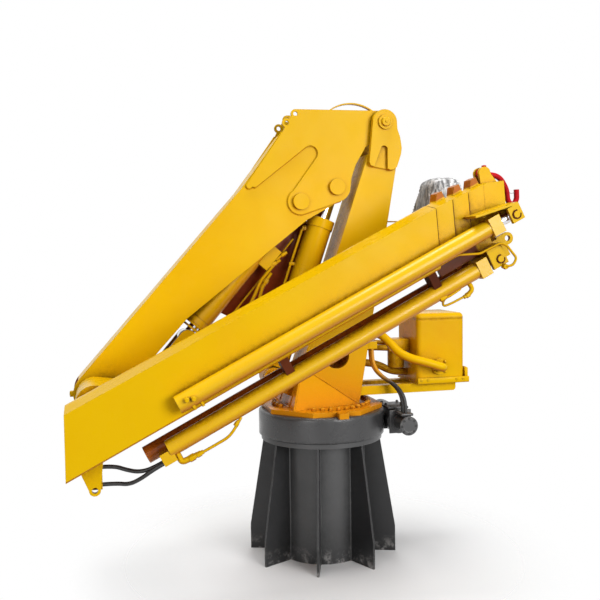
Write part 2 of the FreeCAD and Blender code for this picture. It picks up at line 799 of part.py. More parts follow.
def make_hose_guard():
    """A bent flat bar that arches over the hoses at the boom's root."""
    sink = V(0, 0, -2 * guard_thick)
    left = V(guard_left_x, 0, boom_edge_z(guard_left_x)) + sink
    right = V(guard_right_x, 0, boom_edge_z(guard_right_x)) + sink
    top = V((guard_left_x + guard_right_x) / 2, 0, boom_edge_z(guard_left_x) + guard_rise)
    low = V(0, 0, -guard_thick)
    rim = Part.Arc(left, top, right).toShape()
    under = Part.Arc(right + low, top + low, left + low).toShape()
    sides = [Part.LineSegment(right, right + low).toShape(), Part.LineSegment(left + low, left).toShape()]
    guard = Part.Face(Part.Wire([rim, sides[0], under, sides[1]])).extrude(V(0, guard_wide, 0))
    guard.translate(V(0, boom_half - guard_wide, 0))
    head = (head_ear[0], boom_edge_z(head_ear[0]))
    below = plate([head, (pivot_x, boom_edge_z(pivot_x)), (pivot_x, pivot_z), (head_ear[0], pivot_z)],
                  0, boom_half)
    save("hose_guard", guard.cut(below))


def boom_edge_z(x):
    """Height of the boom's top edge at a place along it."""
    head_z = head_ear[1] + ear_r
    share = (x - head_ear[0]) / (pivot_x - head_ear[0])
    return head_z + share * (pivot_z + boom_root_r - head_z)


# Lift cylinder: barrel pinned at the column foot, rod up to the boom
def make_lift_cylinder():
    foot = V(lift_foot_x, 0, lift_foot_z)
    pin = V(lift_pin_x, 0, lift_pin_z)
    way = pin - foot
    way.normalize()
    tube = rod_between(foot + way * lift_barrel_start, foot + way * lift_barrel_end, lift_barrel_r)
    gland_start = foot + way * (lift_barrel_end - lift_gland_len)
    gland = rod_between(gland_start, foot + way * lift_barrel_end, lift_gland_r)
    neck = rod_between(foot, foot + way * lift_bore_floor, lift_neck_r)
    eye = pin_along_y(lift_foot_x, lift_foot_z, lift_eye_r, -lift_eye_half, lift_eye_half)
    pin_bore = pin_along_y(lift_foot_x, lift_foot_z, lift_pin_r + pin_gap, -lift_eye_half, lift_eye_half)
    bore = rod_between(foot + way * lift_bore_floor, foot + way * lift_barrel_end, lift_rod_r + rod_gap)
    save("lift_barrel", tube.multiFuse([gland, neck, eye]).removeSplitter().cut(pin_bore).cut(bore))
    bar = rod_between(foot + way * (lift_bore_floor + rod_floor_gap), pin, lift_rod_r)
    rod_eye = pin_along_y(lift_pin_x, lift_pin_z, lift_eye_r, -lift_eye_half, lift_eye_half)
    save("lift_rod", bar.fuse(rod_eye).removeSplitter())


# Knuckle cylinder: barrel fixed under the boom, rod, and the link pair to the jib
def make_knuckle_cylinder():
    inner = boom_half - root_plate - boom_plate
    tube = rod_between(ram_at(ram_barrel_start, 0), ram_at(ram_barrel_end, 0), ram_barrel_r)
    gland = rod_between(ram_at(ram_barrel_end - ram_gland_len, 0), ram_at(ram_barrel_end, 0), ram_gland_r)
    eye = pin_along_y(ram_pin_x, ram_pin_z, ram_base_eye_r, -inner, inner)
    bore = rod_between(ram_at(ram_bore_floor, 0), ram_at(ram_barrel_end, 0), ram_rod_r + rod_gap)
    save("knuckle_barrel", tube.multiFuse([gland, eye]).removeSplitter().cut(bore))
    bar = rod_between(ram_at(ram_bore_floor + rod_floor_gap, 0), ram_at(ram_eye_s, 0), ram_rod_r)
    eye_x, eye_z = flat(ram_at(ram_eye_s, 0))
    rod_eye = pin_along_y(eye_x, eye_z, ram_eye_r, -ram_eye_half, ram_eye_half)
    save("knuckle_rod", bar.fuse(rod_eye).removeSplitter())
    lever = flat(ram_at(lever_s, 0))

    def link(y0, y1):
        body = tangent_plate((eye_x, eye_z), link_r, lever, link_r, y0, y1)
        return body.cut(pin_along_y(lever[0], lever[1], lever_pin_r + pin_gap, y0, y1))

    save("knuckle_links", *both_sides(link, link_half, link_half + link_thick))
    valve = block(-valve_long / 2, valve_long / 2, -valve_half, valve_half, 0, valve_drop)
    valve.rotate(V(0, 0, 0), V(0, 1, 0), -ram_deg)
    valve.translate(ram_at(valve_s, 0))
    save("valve_block", valve.cut(tube))


# Jib sections: an eight-sided box, closed at the left by an upright cut
def box_ring(half, top, bottom, chamfer, shoulder, flat_half):
    """Corner places (across, up) of the jib's eight-sided section, with a low roof."""
    return [(half, bottom + chamfer), (half, top - shoulder), (flat_half, top), (-flat_half, top),
            (-half, top - shoulder), (-half, bottom + chamfer),
            (chamfer - half, bottom), (half - chamfer, bottom)]


def box_length(ring, u0, lean0, u1, lean1):
    """A jib box between two leaning ends."""
    first = [jib_at(u0 + v * lean0, jib_centre_y + y, v) for y, v in ring]
    second = [jib_at(u1 + v * lean1, jib_centre_y + y, v) for y, v in ring]
    return prism(first, second)


def section_size(number):
    """Half width, top and bottom of the base (0) or of a telescopic section."""
    return (jib_half - number * section_side_step, jib_top - number * section_top_step,
            jib_bottom + number * section_bottom_step)


def section_ring(number, grow=0.0):
    """A section's outline, grown outwards by a given amount."""
    half, top, bottom = section_size(number)
    share = half / jib_half
    return box_ring(half + grow, top + grow, bottom - grow, jib_chamfer * share, jib_shoulder * share,
                    jib_flat_half * share)


def collar_start(number):
    """Where a section's collar begins along the jib."""
    return jib_len + collar_gap + (number - 1) * (collar_len + collar_gap)


def make_jib_base():
    upright = math.tan(jib_angle)
    outer = box_length(section_ring(0), 0.0, upright, jib_len, collar_lean)
    inner = box_length(section_ring(0, -jib_wall), jib_wall, upright, jib_len + 1, collar_lean)
    shell = outer.cut(inner)
    mouth_ring = section_ring(0, -jib_wall / 2)
    mouth = box_length(mouth_ring, jib_len - mouth_len, collar_lean, jib_len, collar_lean)
    way = box_length(section_ring(1, slide_gap), 0.0, collar_lean, jib_len + mouth_len, collar_lean)
    save("jib_base", shell.fuse(mouth.cut(way)).removeSplitter())


def make_section(number):
    """One telescopic section with its collar, and its mouth for the next one."""
    last = number == section_count
    u0 = section_start + (number - 1) * section_start_step
    u1 = collar_start(number) + collar_len
    tube = box_length(section_ring(number), u0, collar_lean, u1, collar_lean)
    inside = section_ring(number, -section_wall)
    solid = tube.fuse(collar_solid(number))
    if last:
        tip = box_length(section_ring(number, collar_rim / 2), u1, collar_lean, u1 + tip_len, collar_lean)
        solid = solid.fuse(tip.cut(above_tip()))
        hollow = box_length(inside, u0 - 1, collar_lean, u1 - section_wall, collar_lean)
        return solid.cut(hollow).fuse(stop_block(number)).removeSplitter()
    hollow = box_length(inside, u0 - 1, collar_lean, u1 - mouth_len, collar_lean)
    way = box_length(section_ring(number + 1, slide_gap), u0, collar_lean, u1 + 1, collar_lean)
    return solid.cut(hollow).cut(way).fuse(stop_block(number)).removeSplitter()


def stop_block(number):
    """A wedge block on top of a collar, sunk a little into it."""
    top = section_size(number)[1] + collar_rim
    low = top - stop_sink
    u1 = collar_start(number) + collar_len + low * collar_lean
    high = top + stop_tall
    points = [(u1 - stop_long, low), (u1, low), (u1, high), (u1 - stop_long / 2, high)]
    outline = [flat(jib_at(u, 0, v)) for u, v in points]
    return plate(outline, jib_centre_y - stop_half, jib_centre_y + stop_half)


def tip_slope(share):
    """A place (u, v) on the slope on top of the jib's tip, from its start (0) to its end (1)."""
    u0 = collar_start(section_count) + collar_len
    high = section_size(section_count)[1] + collar_rim / 2
    low = high - tip_fall
    left = u0 + high * collar_lean
    right = u0 + tip_len + low * collar_lean
    return left + share * (right - left), high - share * tip_fall


def above_tip():
    """All that lies above the slope on the jib's tip."""
    left, high = tip_slope(0)
    right, low = tip_slope(1)
    end = right + tip_fall
    points = [(left, high), (right, low), (end, low), (end, high + 1), (left, high + 1)]
    outline = [flat(jib_at(u, 0, v)) for u, v in points]
    return plate(outline, jib_centre_y - jib_half, jib_centre_y + jib_half)


def collar_solid(number):
    """A collar as a full block, to trim what is welded against it."""
    u0 = collar_start(number)
    return box_length(section_ring(number, collar_rim), u0, collar_lean, u0 + collar_len, collar_lean)


def under_collar(number):
    """Level of a collar's underside, and the length of it that a welded piece may use."""
    low_v = section_size(number)[2] - collar_rim
    inset = jib_chamfer * collar_lean + arm_room / 2
    u0 = collar_start(number) + low_v * collar_lean
    return low_v, u0 + inset, u0 + collar_len


def ext_barrel(u0, u1, y, v):
    """An extension cylinder's barrel with its bore for the rod."""
    body = jib_rod(u0, u1, y, v, ext_barrel_r)
    return body.cut(jib_rod(u0 + ext_floor, u1, y, v, ext_rod_r + rod_gap))


def end_block(u0, y, v):
    """The block at an extension barrel's outer end, with the rod's way through it."""
    u1 = u0 + end_block_long
    body = jib_block(u0, u1, y - end_block_half, y + end_block_half, v - end_block_half, v + end_block_half)
    return body.cut(jib_rod(u0, u1, y, v, ext_rod_r + rod_gap))


def ext_rod(u0, u1, y, v):
    """An extension cylinder's rod with the eye at its outer end."""
    bar = jib_rod(u0 + ext_floor + rod_floor_gap, u1, y, v, ext_rod_r)
    end = jib_at(u1, y, v)
    eye = pin_along_y(end.x, end.z, rod_eye_r, y - rod_eye_half, y + rod_eye_half)
    return bar.fuse(eye).removeSplitter()


def make_jib():
    make_jib_base()
    make_knuckle_arm()
    make_jib_lug()
    for number in range(1, section_count + 1):
        save("jib_section_%d" % number, make_section(number))
    ends = [collar_start(number) + collar_len for number in range(1, section_count + 1)]
    make_extension_1(ends[0])
    make_extension_2(ends[0], ends[1])
    make_extension_3(ends[1], ends[2] + tip_len)
    make_hook(ends[2] + tip_len)


def make_extension_1(collar_end):
    """Low front cylinder: barrel on the jib's base, rod on the first section."""
    u1 = jib_len + ext_overhang
    nose_u = u1 + end_block_long
    body = ext_barrel(ext_1_start, u1, ext_front_y, ext_low_v)
    round_bar = jib_rod(ext_1_start, u1, ext_front_y, ext_low_v, ext_barrel_r)
    port = jib_block(port_u, port_u + port_long, ext_front_y - port_half, ext_front_y + port_half,
                     ext_low_v - port_drop, ext_low_v)
    fittings = [end_block(u1, ext_front_y, ext_low_v), port.cut(round_bar)]
    save("extension_barrel_1", body.multiFuse(fittings).removeSplitter())
    base = box_length(section_ring(0), 0.0, 0.0, jib_len, collar_lean)
    mouth_u = jib_len + jib_bottom * collar_lean
    saddles = []
    for u in (saddle_u, mouth_u - saddle_long):
        carrier = jib_block(u - saddle_long / 2, u + saddle_long / 2, ext_front_y - saddle_half,
                            ext_front_y + saddle_half, ext_low_v, jib_bottom + jib_chamfer)
        saddles.append(carrier.cut(round_bar).cut(base))
    save("barrel_saddles", *saddles)
    eye_u = collar_end + rod_eye_ahead
    save("extension_rod_1", ext_rod(ext_1_start, eye_u, ext_front_y, ext_low_v))
    save("rod_bracket_1", rod_bracket(1, eye_u, nose_u + arm_room, ext_front_y, collar_solid(1)))


def rod_bracket(number, eye_u, nose_u, y, collar):
    """A back plate below a collar, with a fork at its end that carries a rod's eye."""
    low_v, u0, u1 = under_collar(number)
    end_u = eye_u + rod_eye_r
    arm_low = ext_low_v + ext_barrel_r + arm_room
    front_y = y - rod_eye_half - arm_thick
    back_y = y + rod_eye_half
    far_y = back_y + arm_thick
    arm = jib_block(u0, end_u, back_y, far_y, arm_low, low_v - arm_room / 2)
    riser = jib_block(u0, u1, back_y, far_y, arm_low, low_v + jib_chamfer)
    pieces = [riser.cut(collar), jib_block(nose_u, end_u, front_y, far_y, arm_low, arm_low + arm_thick)]
    for y0 in (front_y, back_y):
        pieces.append(jib_block(nose_u, end_u, y0, y0 + arm_thick, ext_low_v - rod_eye_r, arm_low))
    return arm.multiFuse(pieces).removeSplitter()


def make_extension_2(first_end, second_end):
    """Side cylinder: barrel on the first section's collar, rod on the second's."""
    u1 = first_end + ext_overhang
    body = ext_barrel(ext_2_start, u1, ext_side_y, ext_side_v).fuse(end_block(u1, ext_side_y, ext_side_v))
    round_bar = jib_rod(ext_2_start, u1, ext_side_y, ext_side_v, ext_barrel_r)
    low_v = ext_side_v - saddle_half
    high_v = ext_side_v + saddle_half
    seat = jib_block(collar_start(1) + high_v * collar_lean, first_end + low_v * collar_lean, ext_side_y,
                     collar_face_y(1), low_v, high_v)
    save("extension_barrel_2", body.fuse(seat.cut(round_bar)).removeSplitter())
    eye_u = second_end + side_eye_ahead
    save("extension_rod_2", ext_rod(ext_2_start, eye_u, ext_side_y, ext_side_v))
    front_y = ext_side_y - rod_eye_half - arm_thick
    end_u = eye_u + rod_eye_r
    end_v = side_shelf_v - side_shelf_fall
    shelf = [flat(jib_at(u, 0, v)) for u, v in ((end_u - side_shelf_u, side_shelf_v), (end_u, end_v),
                                                (end_u, end_v - side_shelf_thick),
                                                (end_u - side_shelf_u, side_shelf_v - side_shelf_thick))]
    pieces = [plate(shelf, front_y, collar_face_y(2))]
    for y0 in (front_y, ext_side_y + rod_eye_half):
        pieces.append(jib_block(eye_u - rod_eye_r, end_u, y0, y0 + arm_thick,
                                ext_side_v - rod_eye_r, end_v - side_shelf_thick / 2))
    save("rod_bracket_2", pieces[0].multiFuse(pieces[1:]).removeSplitter())


def collar_face_y(number):
    """The front face of a collar."""
    return jib_centre_y - section_size(number)[0] - collar_rim


def make_extension_3(second_end, tip_u):
    """Low back cylinder: barrel on the second section's collar, rod on the third's."""
    body = ext_barrel(ext_3_start, second_end, ext_back_y, ext_low_v)
    round_bar = jib_rod(ext_3_start, second_end, ext_back_y, ext_low_v, ext_barrel_r)
    low_v, u0, u1 = under_collar(2)
    seat = jib_block(u0, u1, ext_back_y - saddle_half, ext_back_y + saddle_half,
                     ext_low_v, low_v + jib_chamfer)
    seat = seat.cut(collar_solid(2)).cut(round_bar)
    save("extension_barrel_3", body.fuse(seat).removeSplitter())
    eye_u = tip_u - last_eye_back
    save("extension_rod_3", ext_rod(ext_3_start, eye_u, ext_back_y, ext_low_v))
    bracket = rod_bracket(3, eye_u, second_end + arm_room, ext_back_y, collar_solid(3))
    y0 = ext_back_y - rod_eye_half - arm_thick
    tie_u = tip_u - tie_eye_u
    tie = jib_at(tie_u, y0, tie_eye_v)
    tongue = jib_block(eye_u, tie_u, y0, y0 + arm_thick, tie_eye_v - tie_eye_r, tie_eye_v + tie_eye_r)
    eye = pin_along_y(tie.x, tie.z, tie_eye_r, y0, y0 + arm_thick)
    bracket = bracket.multiFuse([tongue, eye]).removeSplitter()
    save("rod_bracket_3", bracket.cut(pin_along_y(tie.x, tie.z, tie_hole_r, y0, y0 + arm_thick)))


def make_knuckle_arm():
    """Offset arm from the jib's back to the knuckle: two ears, a cross tie and the pins."""
    knuckle = (knuckle_x, knuckle_z)
    lever = flat(ram_at(lever_s, 0))
    tie = flat(ram_at(tie_s, tie_t))
    outer = ear_half + ear_thick

    def ear(y0, y1):
        body = tangent_plate(knuckle, ear_knuckle_r, lever, ear_lever_r, y0, y1)
        body = body.fuse(tangent_plate(knuckle, ear_knuckle_r, tie, tie_r + 10, y0, y1))
        body = body.fuse(tangent_plate(tie, tie_r + 10, lever, ear_lever_r, y0, y1)).removeSplitter()
        return body

    front = ear(jib_back_y, -ear_half)
    back = ear(ear_half, outer)
    bar = pin_along_y(tie[0], tie[1], tie_r, -ear_half, ear_half)
    arm = front.multiFuse([back, bar]).removeSplitter()
    arm = arm.cut(pin_along_y(knuckle_x, knuckle_z, knuckle_pin_r, -outer, outer))
    arm = arm.cut(pin_along_y(lever[0], lever[1], lever_pin_r, -outer, outer))
    save("knuckle_arm", arm)
    pins = []
    for (x, z), radius in ((knuckle, knuckle_pin_r), (lever, lever_pin_r)):
        pin = pin_along_y(x, z, radius, -outer, outer)
        head = pin_along_y(x, z, radius + 10, outer, outer + pin_head_thick)
        pins.append(pin.fuse(head).removeSplitter())
    save("knuckle_pins", *pins)


def make_jib_lug():
    """Tie-down lug with a round eye under the jib's left end, and the hose plate beside it."""
    left = flat(jib_at(jib_lug_root_left, 0, jib_bottom))
    right = flat(jib_at(jib_lug_root_right, 0, jib_bottom))
    y0 = jib_centre_y - jib_lug_thick / 2
    y1 = jib_centre_y + jib_lug_thick / 2
    eye_sides = [(jib_lug_x + jib_lug_r, jib_lug_z), (jib_lug_x - jib_lug_r, jib_lug_z)]
    foot = plate([left, right] + eye_sides, y0, y1)
    eye = pin_along_y(jib_lug_x, jib_lug_z, jib_lug_r, y0, y1)
    hole = pin_along_y(jib_lug_x, jib_lug_z, jib_lug_hole_r, y0, y1)
    base = box_length(section_ring(0), 0.0, 0.0, jib_len, 0.0)
    hose_plate = block(bracket_left_x, bracket_right_x, y1, y1 + bracket_thick, bracket_low_z, right[1])
    save("jib_lug", foot.multiFuse([eye, hose_plate.cut(base)]).removeSplitter().cut(hole))


# Hook on its lug at the jib's tip
def make_hook(tip_u):
    left, right = [flat(jib_at(u, 0, v)) for u, v in (tip_slope(hook_lug_left), tip_slope(hook_lug_right))]
    pin_x, pin_z = flat(jib_at(tip_u - hook_pin_back, 0, tip_slope(0)[1] + hook_pin_rise))
    outline = [left, right, (pin_x + hook_lug_r, pin_z), (pin_x - hook_lug_r, pin_z)]
    near = hook_eye_half + hook_side_gap
    far = near + hook_lug_thick
    pieces = [pin_along_y(pin_x, pin_z, hook_pin_r, jib_centre_y - far, jib_centre_y + far)]
    for y0 in (jib_centre_y - far, jib_centre_y + near):
        y1 = y0 + hook_lug_thick
        pieces.append(plate(outline, y0, y1))
        pieces.append(pin_along_y(pin_x, pin_z, hook_lug_r, y0, y1))
    save("hook_lug", pieces[0].multiFuse(pieces[1:]).removeSplitter())
    y0 = jib_centre_y - hook_eye_half
    y1 = jib_centre_y + hook_eye_half
    route = [V(pin_x + x, jib_centre_y, pin_z + z) for x, z in hook_steps]
    eye = pin_along_y(pin_x, pin_z, hook_eye_r, y0, y1)
    hole = pin_along_y(pin_x, pin_z, hook_pin_r + pin_gap, y0 - hook_side_gap, y1 + hook_side_gap)
    hook = tube_along(route, hook_body_r)[0].fuse(eye).removeSplitter()
    save("hook", hook.cut(hole))


# Free hoses, each a round tube along its route, and the elbow block that two of them leave
def make_hoses():
    elbow = block(0, column_foot_right, elbow_front_y, elbow_back_y, elbow_low_z, elbow_high_z)
    elbow.translate(V(elbow_long + column_lean() * (elbow_low_z - plate_top_z), 0, 0))
    save("hose_elbow", elbow.cut(column_solid()))
    for name, points in hose_routes.items():
        tube, length, radii = tube_along([V(*point) for point in points], hose_r)
        share = tube.Volume / (math.pi * hose_r ** 2 * length)
        print(name, "length %.0f" % length, "volume share %.4f" % share)
        print("  bend radii", [round(r) for r in radii])
        save(name, tube)


def column_lean():
    """How far the column's right face leans for each millimetre of height."""
    return (column_head_right - column_foot_right) / (column_head_z - plate_top_z)


os.makedirs("parts", exist_ok=True)
make_pedestal()
make_slew_drive()
make_turret()
make_column_head()
make_lift_foot()
make_tank()
make_seat()
make_boom()
make_lift_cylinder()
make_knuckle_cylinder()
make_jib()
make_hoses()
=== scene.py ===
# %% [markdown]
# # A knuckle boom crane, dressed for its photograph
# The crane stands folded for storage: a finned pedestal, a slewing turret with a leaning column, an inner
# boom, and a telescopic jib folded up along its side. The steelwork comes ready made as the frame. This
# lesson gives it its paint, hoses, welds, bolts and small fittings, one step at a time.

# %% Load the frame
import json
import math
import bmesh
import bpy
from mathutils import Matrix, Quaternion, Vector


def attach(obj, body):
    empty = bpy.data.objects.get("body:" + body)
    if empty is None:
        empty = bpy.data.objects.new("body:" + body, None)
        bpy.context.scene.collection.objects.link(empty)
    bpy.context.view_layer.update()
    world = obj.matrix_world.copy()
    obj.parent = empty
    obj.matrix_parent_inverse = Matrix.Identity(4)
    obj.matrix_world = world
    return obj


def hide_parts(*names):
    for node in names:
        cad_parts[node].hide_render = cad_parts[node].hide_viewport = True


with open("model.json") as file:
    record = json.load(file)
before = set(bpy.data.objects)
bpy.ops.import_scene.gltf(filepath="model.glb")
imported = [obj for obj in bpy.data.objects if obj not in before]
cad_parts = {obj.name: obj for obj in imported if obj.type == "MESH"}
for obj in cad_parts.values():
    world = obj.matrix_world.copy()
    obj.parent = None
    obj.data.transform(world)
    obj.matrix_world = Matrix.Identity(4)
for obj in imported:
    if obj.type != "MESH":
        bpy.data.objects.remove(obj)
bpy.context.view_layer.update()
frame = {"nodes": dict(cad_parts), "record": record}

nodes = frame["nodes"]
scene = bpy.context.scene

# %% [markdown]
# ## The camera
# A photograph of a machine like this is taken from standing height, a few paces off. The camera could be
# placed by eye, but a place and a direction worked out from the photograph's own lines put every piece
# where it shows there. A small roll levels the picture as the photographer held it.

# %% Camera
camera_place = Vector((-1.203, -4.338, 1.680))
camera_aim = Vector((0.2429, 0.9684, -0.0558))
camera_roll = math.radians(-0.76)
camera_lens = 48.0

bpy.ops.object.camera_add(location=camera_place)
camera = bpy.context.object
camera.rotation_mode = "QUATERNION"
camera.rotation_quaternion = camera_aim.to_track_quat("-Z", "Y") @ Quaternion((0, 0, 1), camera_roll)
camera.data.lens = camera_lens
camera.data.sensor_width = 36.0
camera.data.clip_end = 100.0
scene.camera = camera
print("camera", tuple(round(v, 3) for v in camera.location))

# %% [markdown]
# ## Working by hand, in code
# Blender's operators act on whatever is selected, so each step begins with nothing selected. These short
# helpers pick one object, pick faces by their place, and settle a finished piece: its place goes into its
# mesh, its flat faces stay crisp, and it rides on the body that carries it.

# %% Helpers for pieces
def only(*objects):
    """Select these objects and nothing else; the first is active."""
    bpy.ops.object.select_all(action="DESELECT")
    for item in objects:
        item.select_set(True)
    bpy.context.view_layer.objects.active = objects[0]
    return objects[0]


def pick_faces(test):
    """In edit mode, select the faces whose centre and normal pass the test."""
    bpy.ops.mesh.select_all(action="DESELECT")
    bpy.ops.mesh.select_mode(type="FACE")
    mesh = bmesh.from_edit_mesh(bpy.context.edit_object.data)
    for face in mesh.faces:
        face.select_set(bool(test(face.calc_center_median(), face.normal)))
    bmesh.update_edit_mesh(bpy.context.edit_object.data)


def settle(piece, name, body, paint, smooth_deg=35):
    """Finish a piece: name, mesh in place, crisp edges, paint, and the body it rides on."""
    only(piece)
    bpy.ops.object.transform_apply(location=True, rotation=True, scale=True)
    bpy.ops.object.shade_smooth_by_angle(angle=math.radians(smooth_deg))
    piece.name = name
    piece.data.name = name
    piece.data.materials.clear()
    piece.data.materials.append(paint)
    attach(piece, body)
    return piece


def joined(pieces):
    """Join several meshes into one."""
    only(*pieces)
    if len(pieces) > 1:
        bpy.ops.object.join()
    return bpy.context.object


def copied(pattern, places):
    """Copies of a pattern at several places, each with its own mesh, joined; the pattern goes."""
    made = []
    for place in places:
        twin = pattern.copy()
        twin.data = pattern.data.copy()
        twin.data.transform(place)
        scene.collection.objects.link(twin)
        made.append(twin)
    bpy.data.objects.remove(pattern)
    return joined(made)

# %% [markdown]
# ## Places along the jib and the knuckle cylinder
# Much of the crane is laid out along two slanting lines, the jib's and the knuckle cylinder's. A fitter
# measures along them with a tape, so these helpers do the same and turn such a place into a point.

# %% Places along slanting parts
jib_lean = math.radians(27.2)
jib_foot = (-1.371, 0.853)
ram_lean = math.radians(229.6)
ram_head = (-0.131, 1.971)


def slanting(start, lean, along, above, y):
    """A point by its distance along and above a slanting line, and across it, in metres."""
    return Vector((start[0] + along * math.cos(lean) - above * math.sin(lean), y,
                   start[1] + along * math.sin(lean) + above * math.cos(lean)))


def along_jib(u, y, v):
    """A point by its place along the jib, across it and above its centre line."""
    return slanting(jib_foot, jib_lean, u, v, y)


def along_ram(s, t, y):
    """A point by its place along the knuckle cylinder, beside it and across it."""
    return slanting(ram_head, ram_lean, s, t, y)


jib_way = along_jib(1, 0, 0) - along_jib(0, 0, 0)
jib_up = along_jib(0, 0, 1) - along_jib(0, 0, 0)
ram_way = along_ram(1, 0, 0) - along_ram(0, 0, 0)
print("jib runs along", tuple(round(v, 3) for v in jib_way))

# %% [markdown]
# ## Small tools for materials
# A material in Blender is a tree of small nodes, and each does one sum. They could be laid out by hand in
# the node editor, but a crane needs a dozen paints that differ in little. These helpers add a node, feed it
# and hand on its result, so that the materials below read like recipes.

# %% Node helpers
def added(tree, kind, **values):
    """A new node in a tree, with some of its values set."""
    made = tree.nodes.new("ShaderNode" + kind)
    for socket, value in values.items():
        made.inputs[socket.replace("_", " ")].default_value = value
    return made


def linked(source, socket):
    """Lead a value into a socket of the same tree."""
    source.id_data.links.new(source, socket)


def blank(name):
    """A new material, its tree and its shader."""
    material = bpy.data.materials.new(name)
    material.use_nodes = True
    return material, material.node_tree, material.node_tree.nodes["Principled BSDF"]


def ramp(source, low, high, start=0.0, end=1.0):
    """Stretch a value between two levels; returns the output socket."""
    made = added(source.id_data, "MapRange", From_Min=low, From_Max=high, To_Min=start, To_Max=end)
    linked(source, made.inputs["Value"])
    return made.outputs["Result"]


def noise(place, scale, detail=3.0, rough=0.55):
    """A noise value on the object's own coordinates."""
    made = added(place.id_data, "TexNoise", Scale=scale, Detail=detail, Roughness=rough)
    linked(place, made.inputs["Vector"])
    return made.outputs["Fac"]


def worked(operation, *sources):
    """A sum done on one or two values."""
    made = added(sources[0].id_data, "Math")
    made.operation = operation
    for source, socket in zip(sources, made.inputs):
        linked(source, socket)
    return made.outputs[0]


def product(first, second):
    """Two values multiplied."""
    return worked("MULTIPLY", first, second)


def part_of(vector, axis):
    """One part, X, Y or Z, of a place or a normal."""
    parts = added(vector.id_data, "SeparateXYZ")
    linked(vector, parts.inputs[0])
    return parts.outputs[axis]


def distance(vector, way):
    """How far a place or a normal reaches along a direction."""
    made = added(vector.id_data, "VectorMath")
    made.operation = "DOT_PRODUCT"
    made.inputs[1].default_value = way
    linked(vector, made.inputs[0])
    return made.outputs["Value"]


def tint(share, under, colour):
    """Mix a colour over another by a share; returns the colour socket."""
    made = added(share.id_data, "Mix")
    made.data_type = "RGBA"
    linked(share, made.inputs["Factor"])
    if isinstance(under, tuple):
        made.inputs[6].default_value = (*under, 1)
    else:
        linked(under, made.inputs[6])
    made.inputs[7].default_value = (*colour, 1)
    return made.outputs[2]

# %% [markdown]
# ## Paint that has been outdoors
# Crane paint is sprayed thick on plain plate: a fine orange-peel skin and slightly wavy plate below it. On it
# go painted shade that darkens the corners, and paler edges that are partly rubbed wear and partly a painted
# highlight. One flat colour would look like plastic. The paint could be drawn as an image, but noise on the
# object's own coordinates needs none and stays put on every piece. A bevel lookup rounds each sharp edge a
# little, and the same lookup tells where an edge is, for its wear and its painted highlight.

# %% Painted steel
boom_inner_half = 0.0835
boom_inwards = (0.70, 0.0, -0.71)
foot_shade_fade = 0.35
foot_shade_tint = (0.80, 0.31, 0.006)
corner_reach = 0.26
scuff_height = 0.09


def inner_share(place, normal):
    """How far a face belongs to the boom's inside: between its side plates and looking inwards."""
    across = worked("ABSOLUTE", part_of(place, "Y"))
    within = ramp(across, boom_inner_half + 0.001, boom_inner_half - 0.001)
    sideways = worked("ABSOLUTE", part_of(normal, "Y"))
    facing_in = worked("MAXIMUM", sideways, distance(normal, boom_inwards))
    return product(within, ramp(facing_in, 0.55, 0.75))


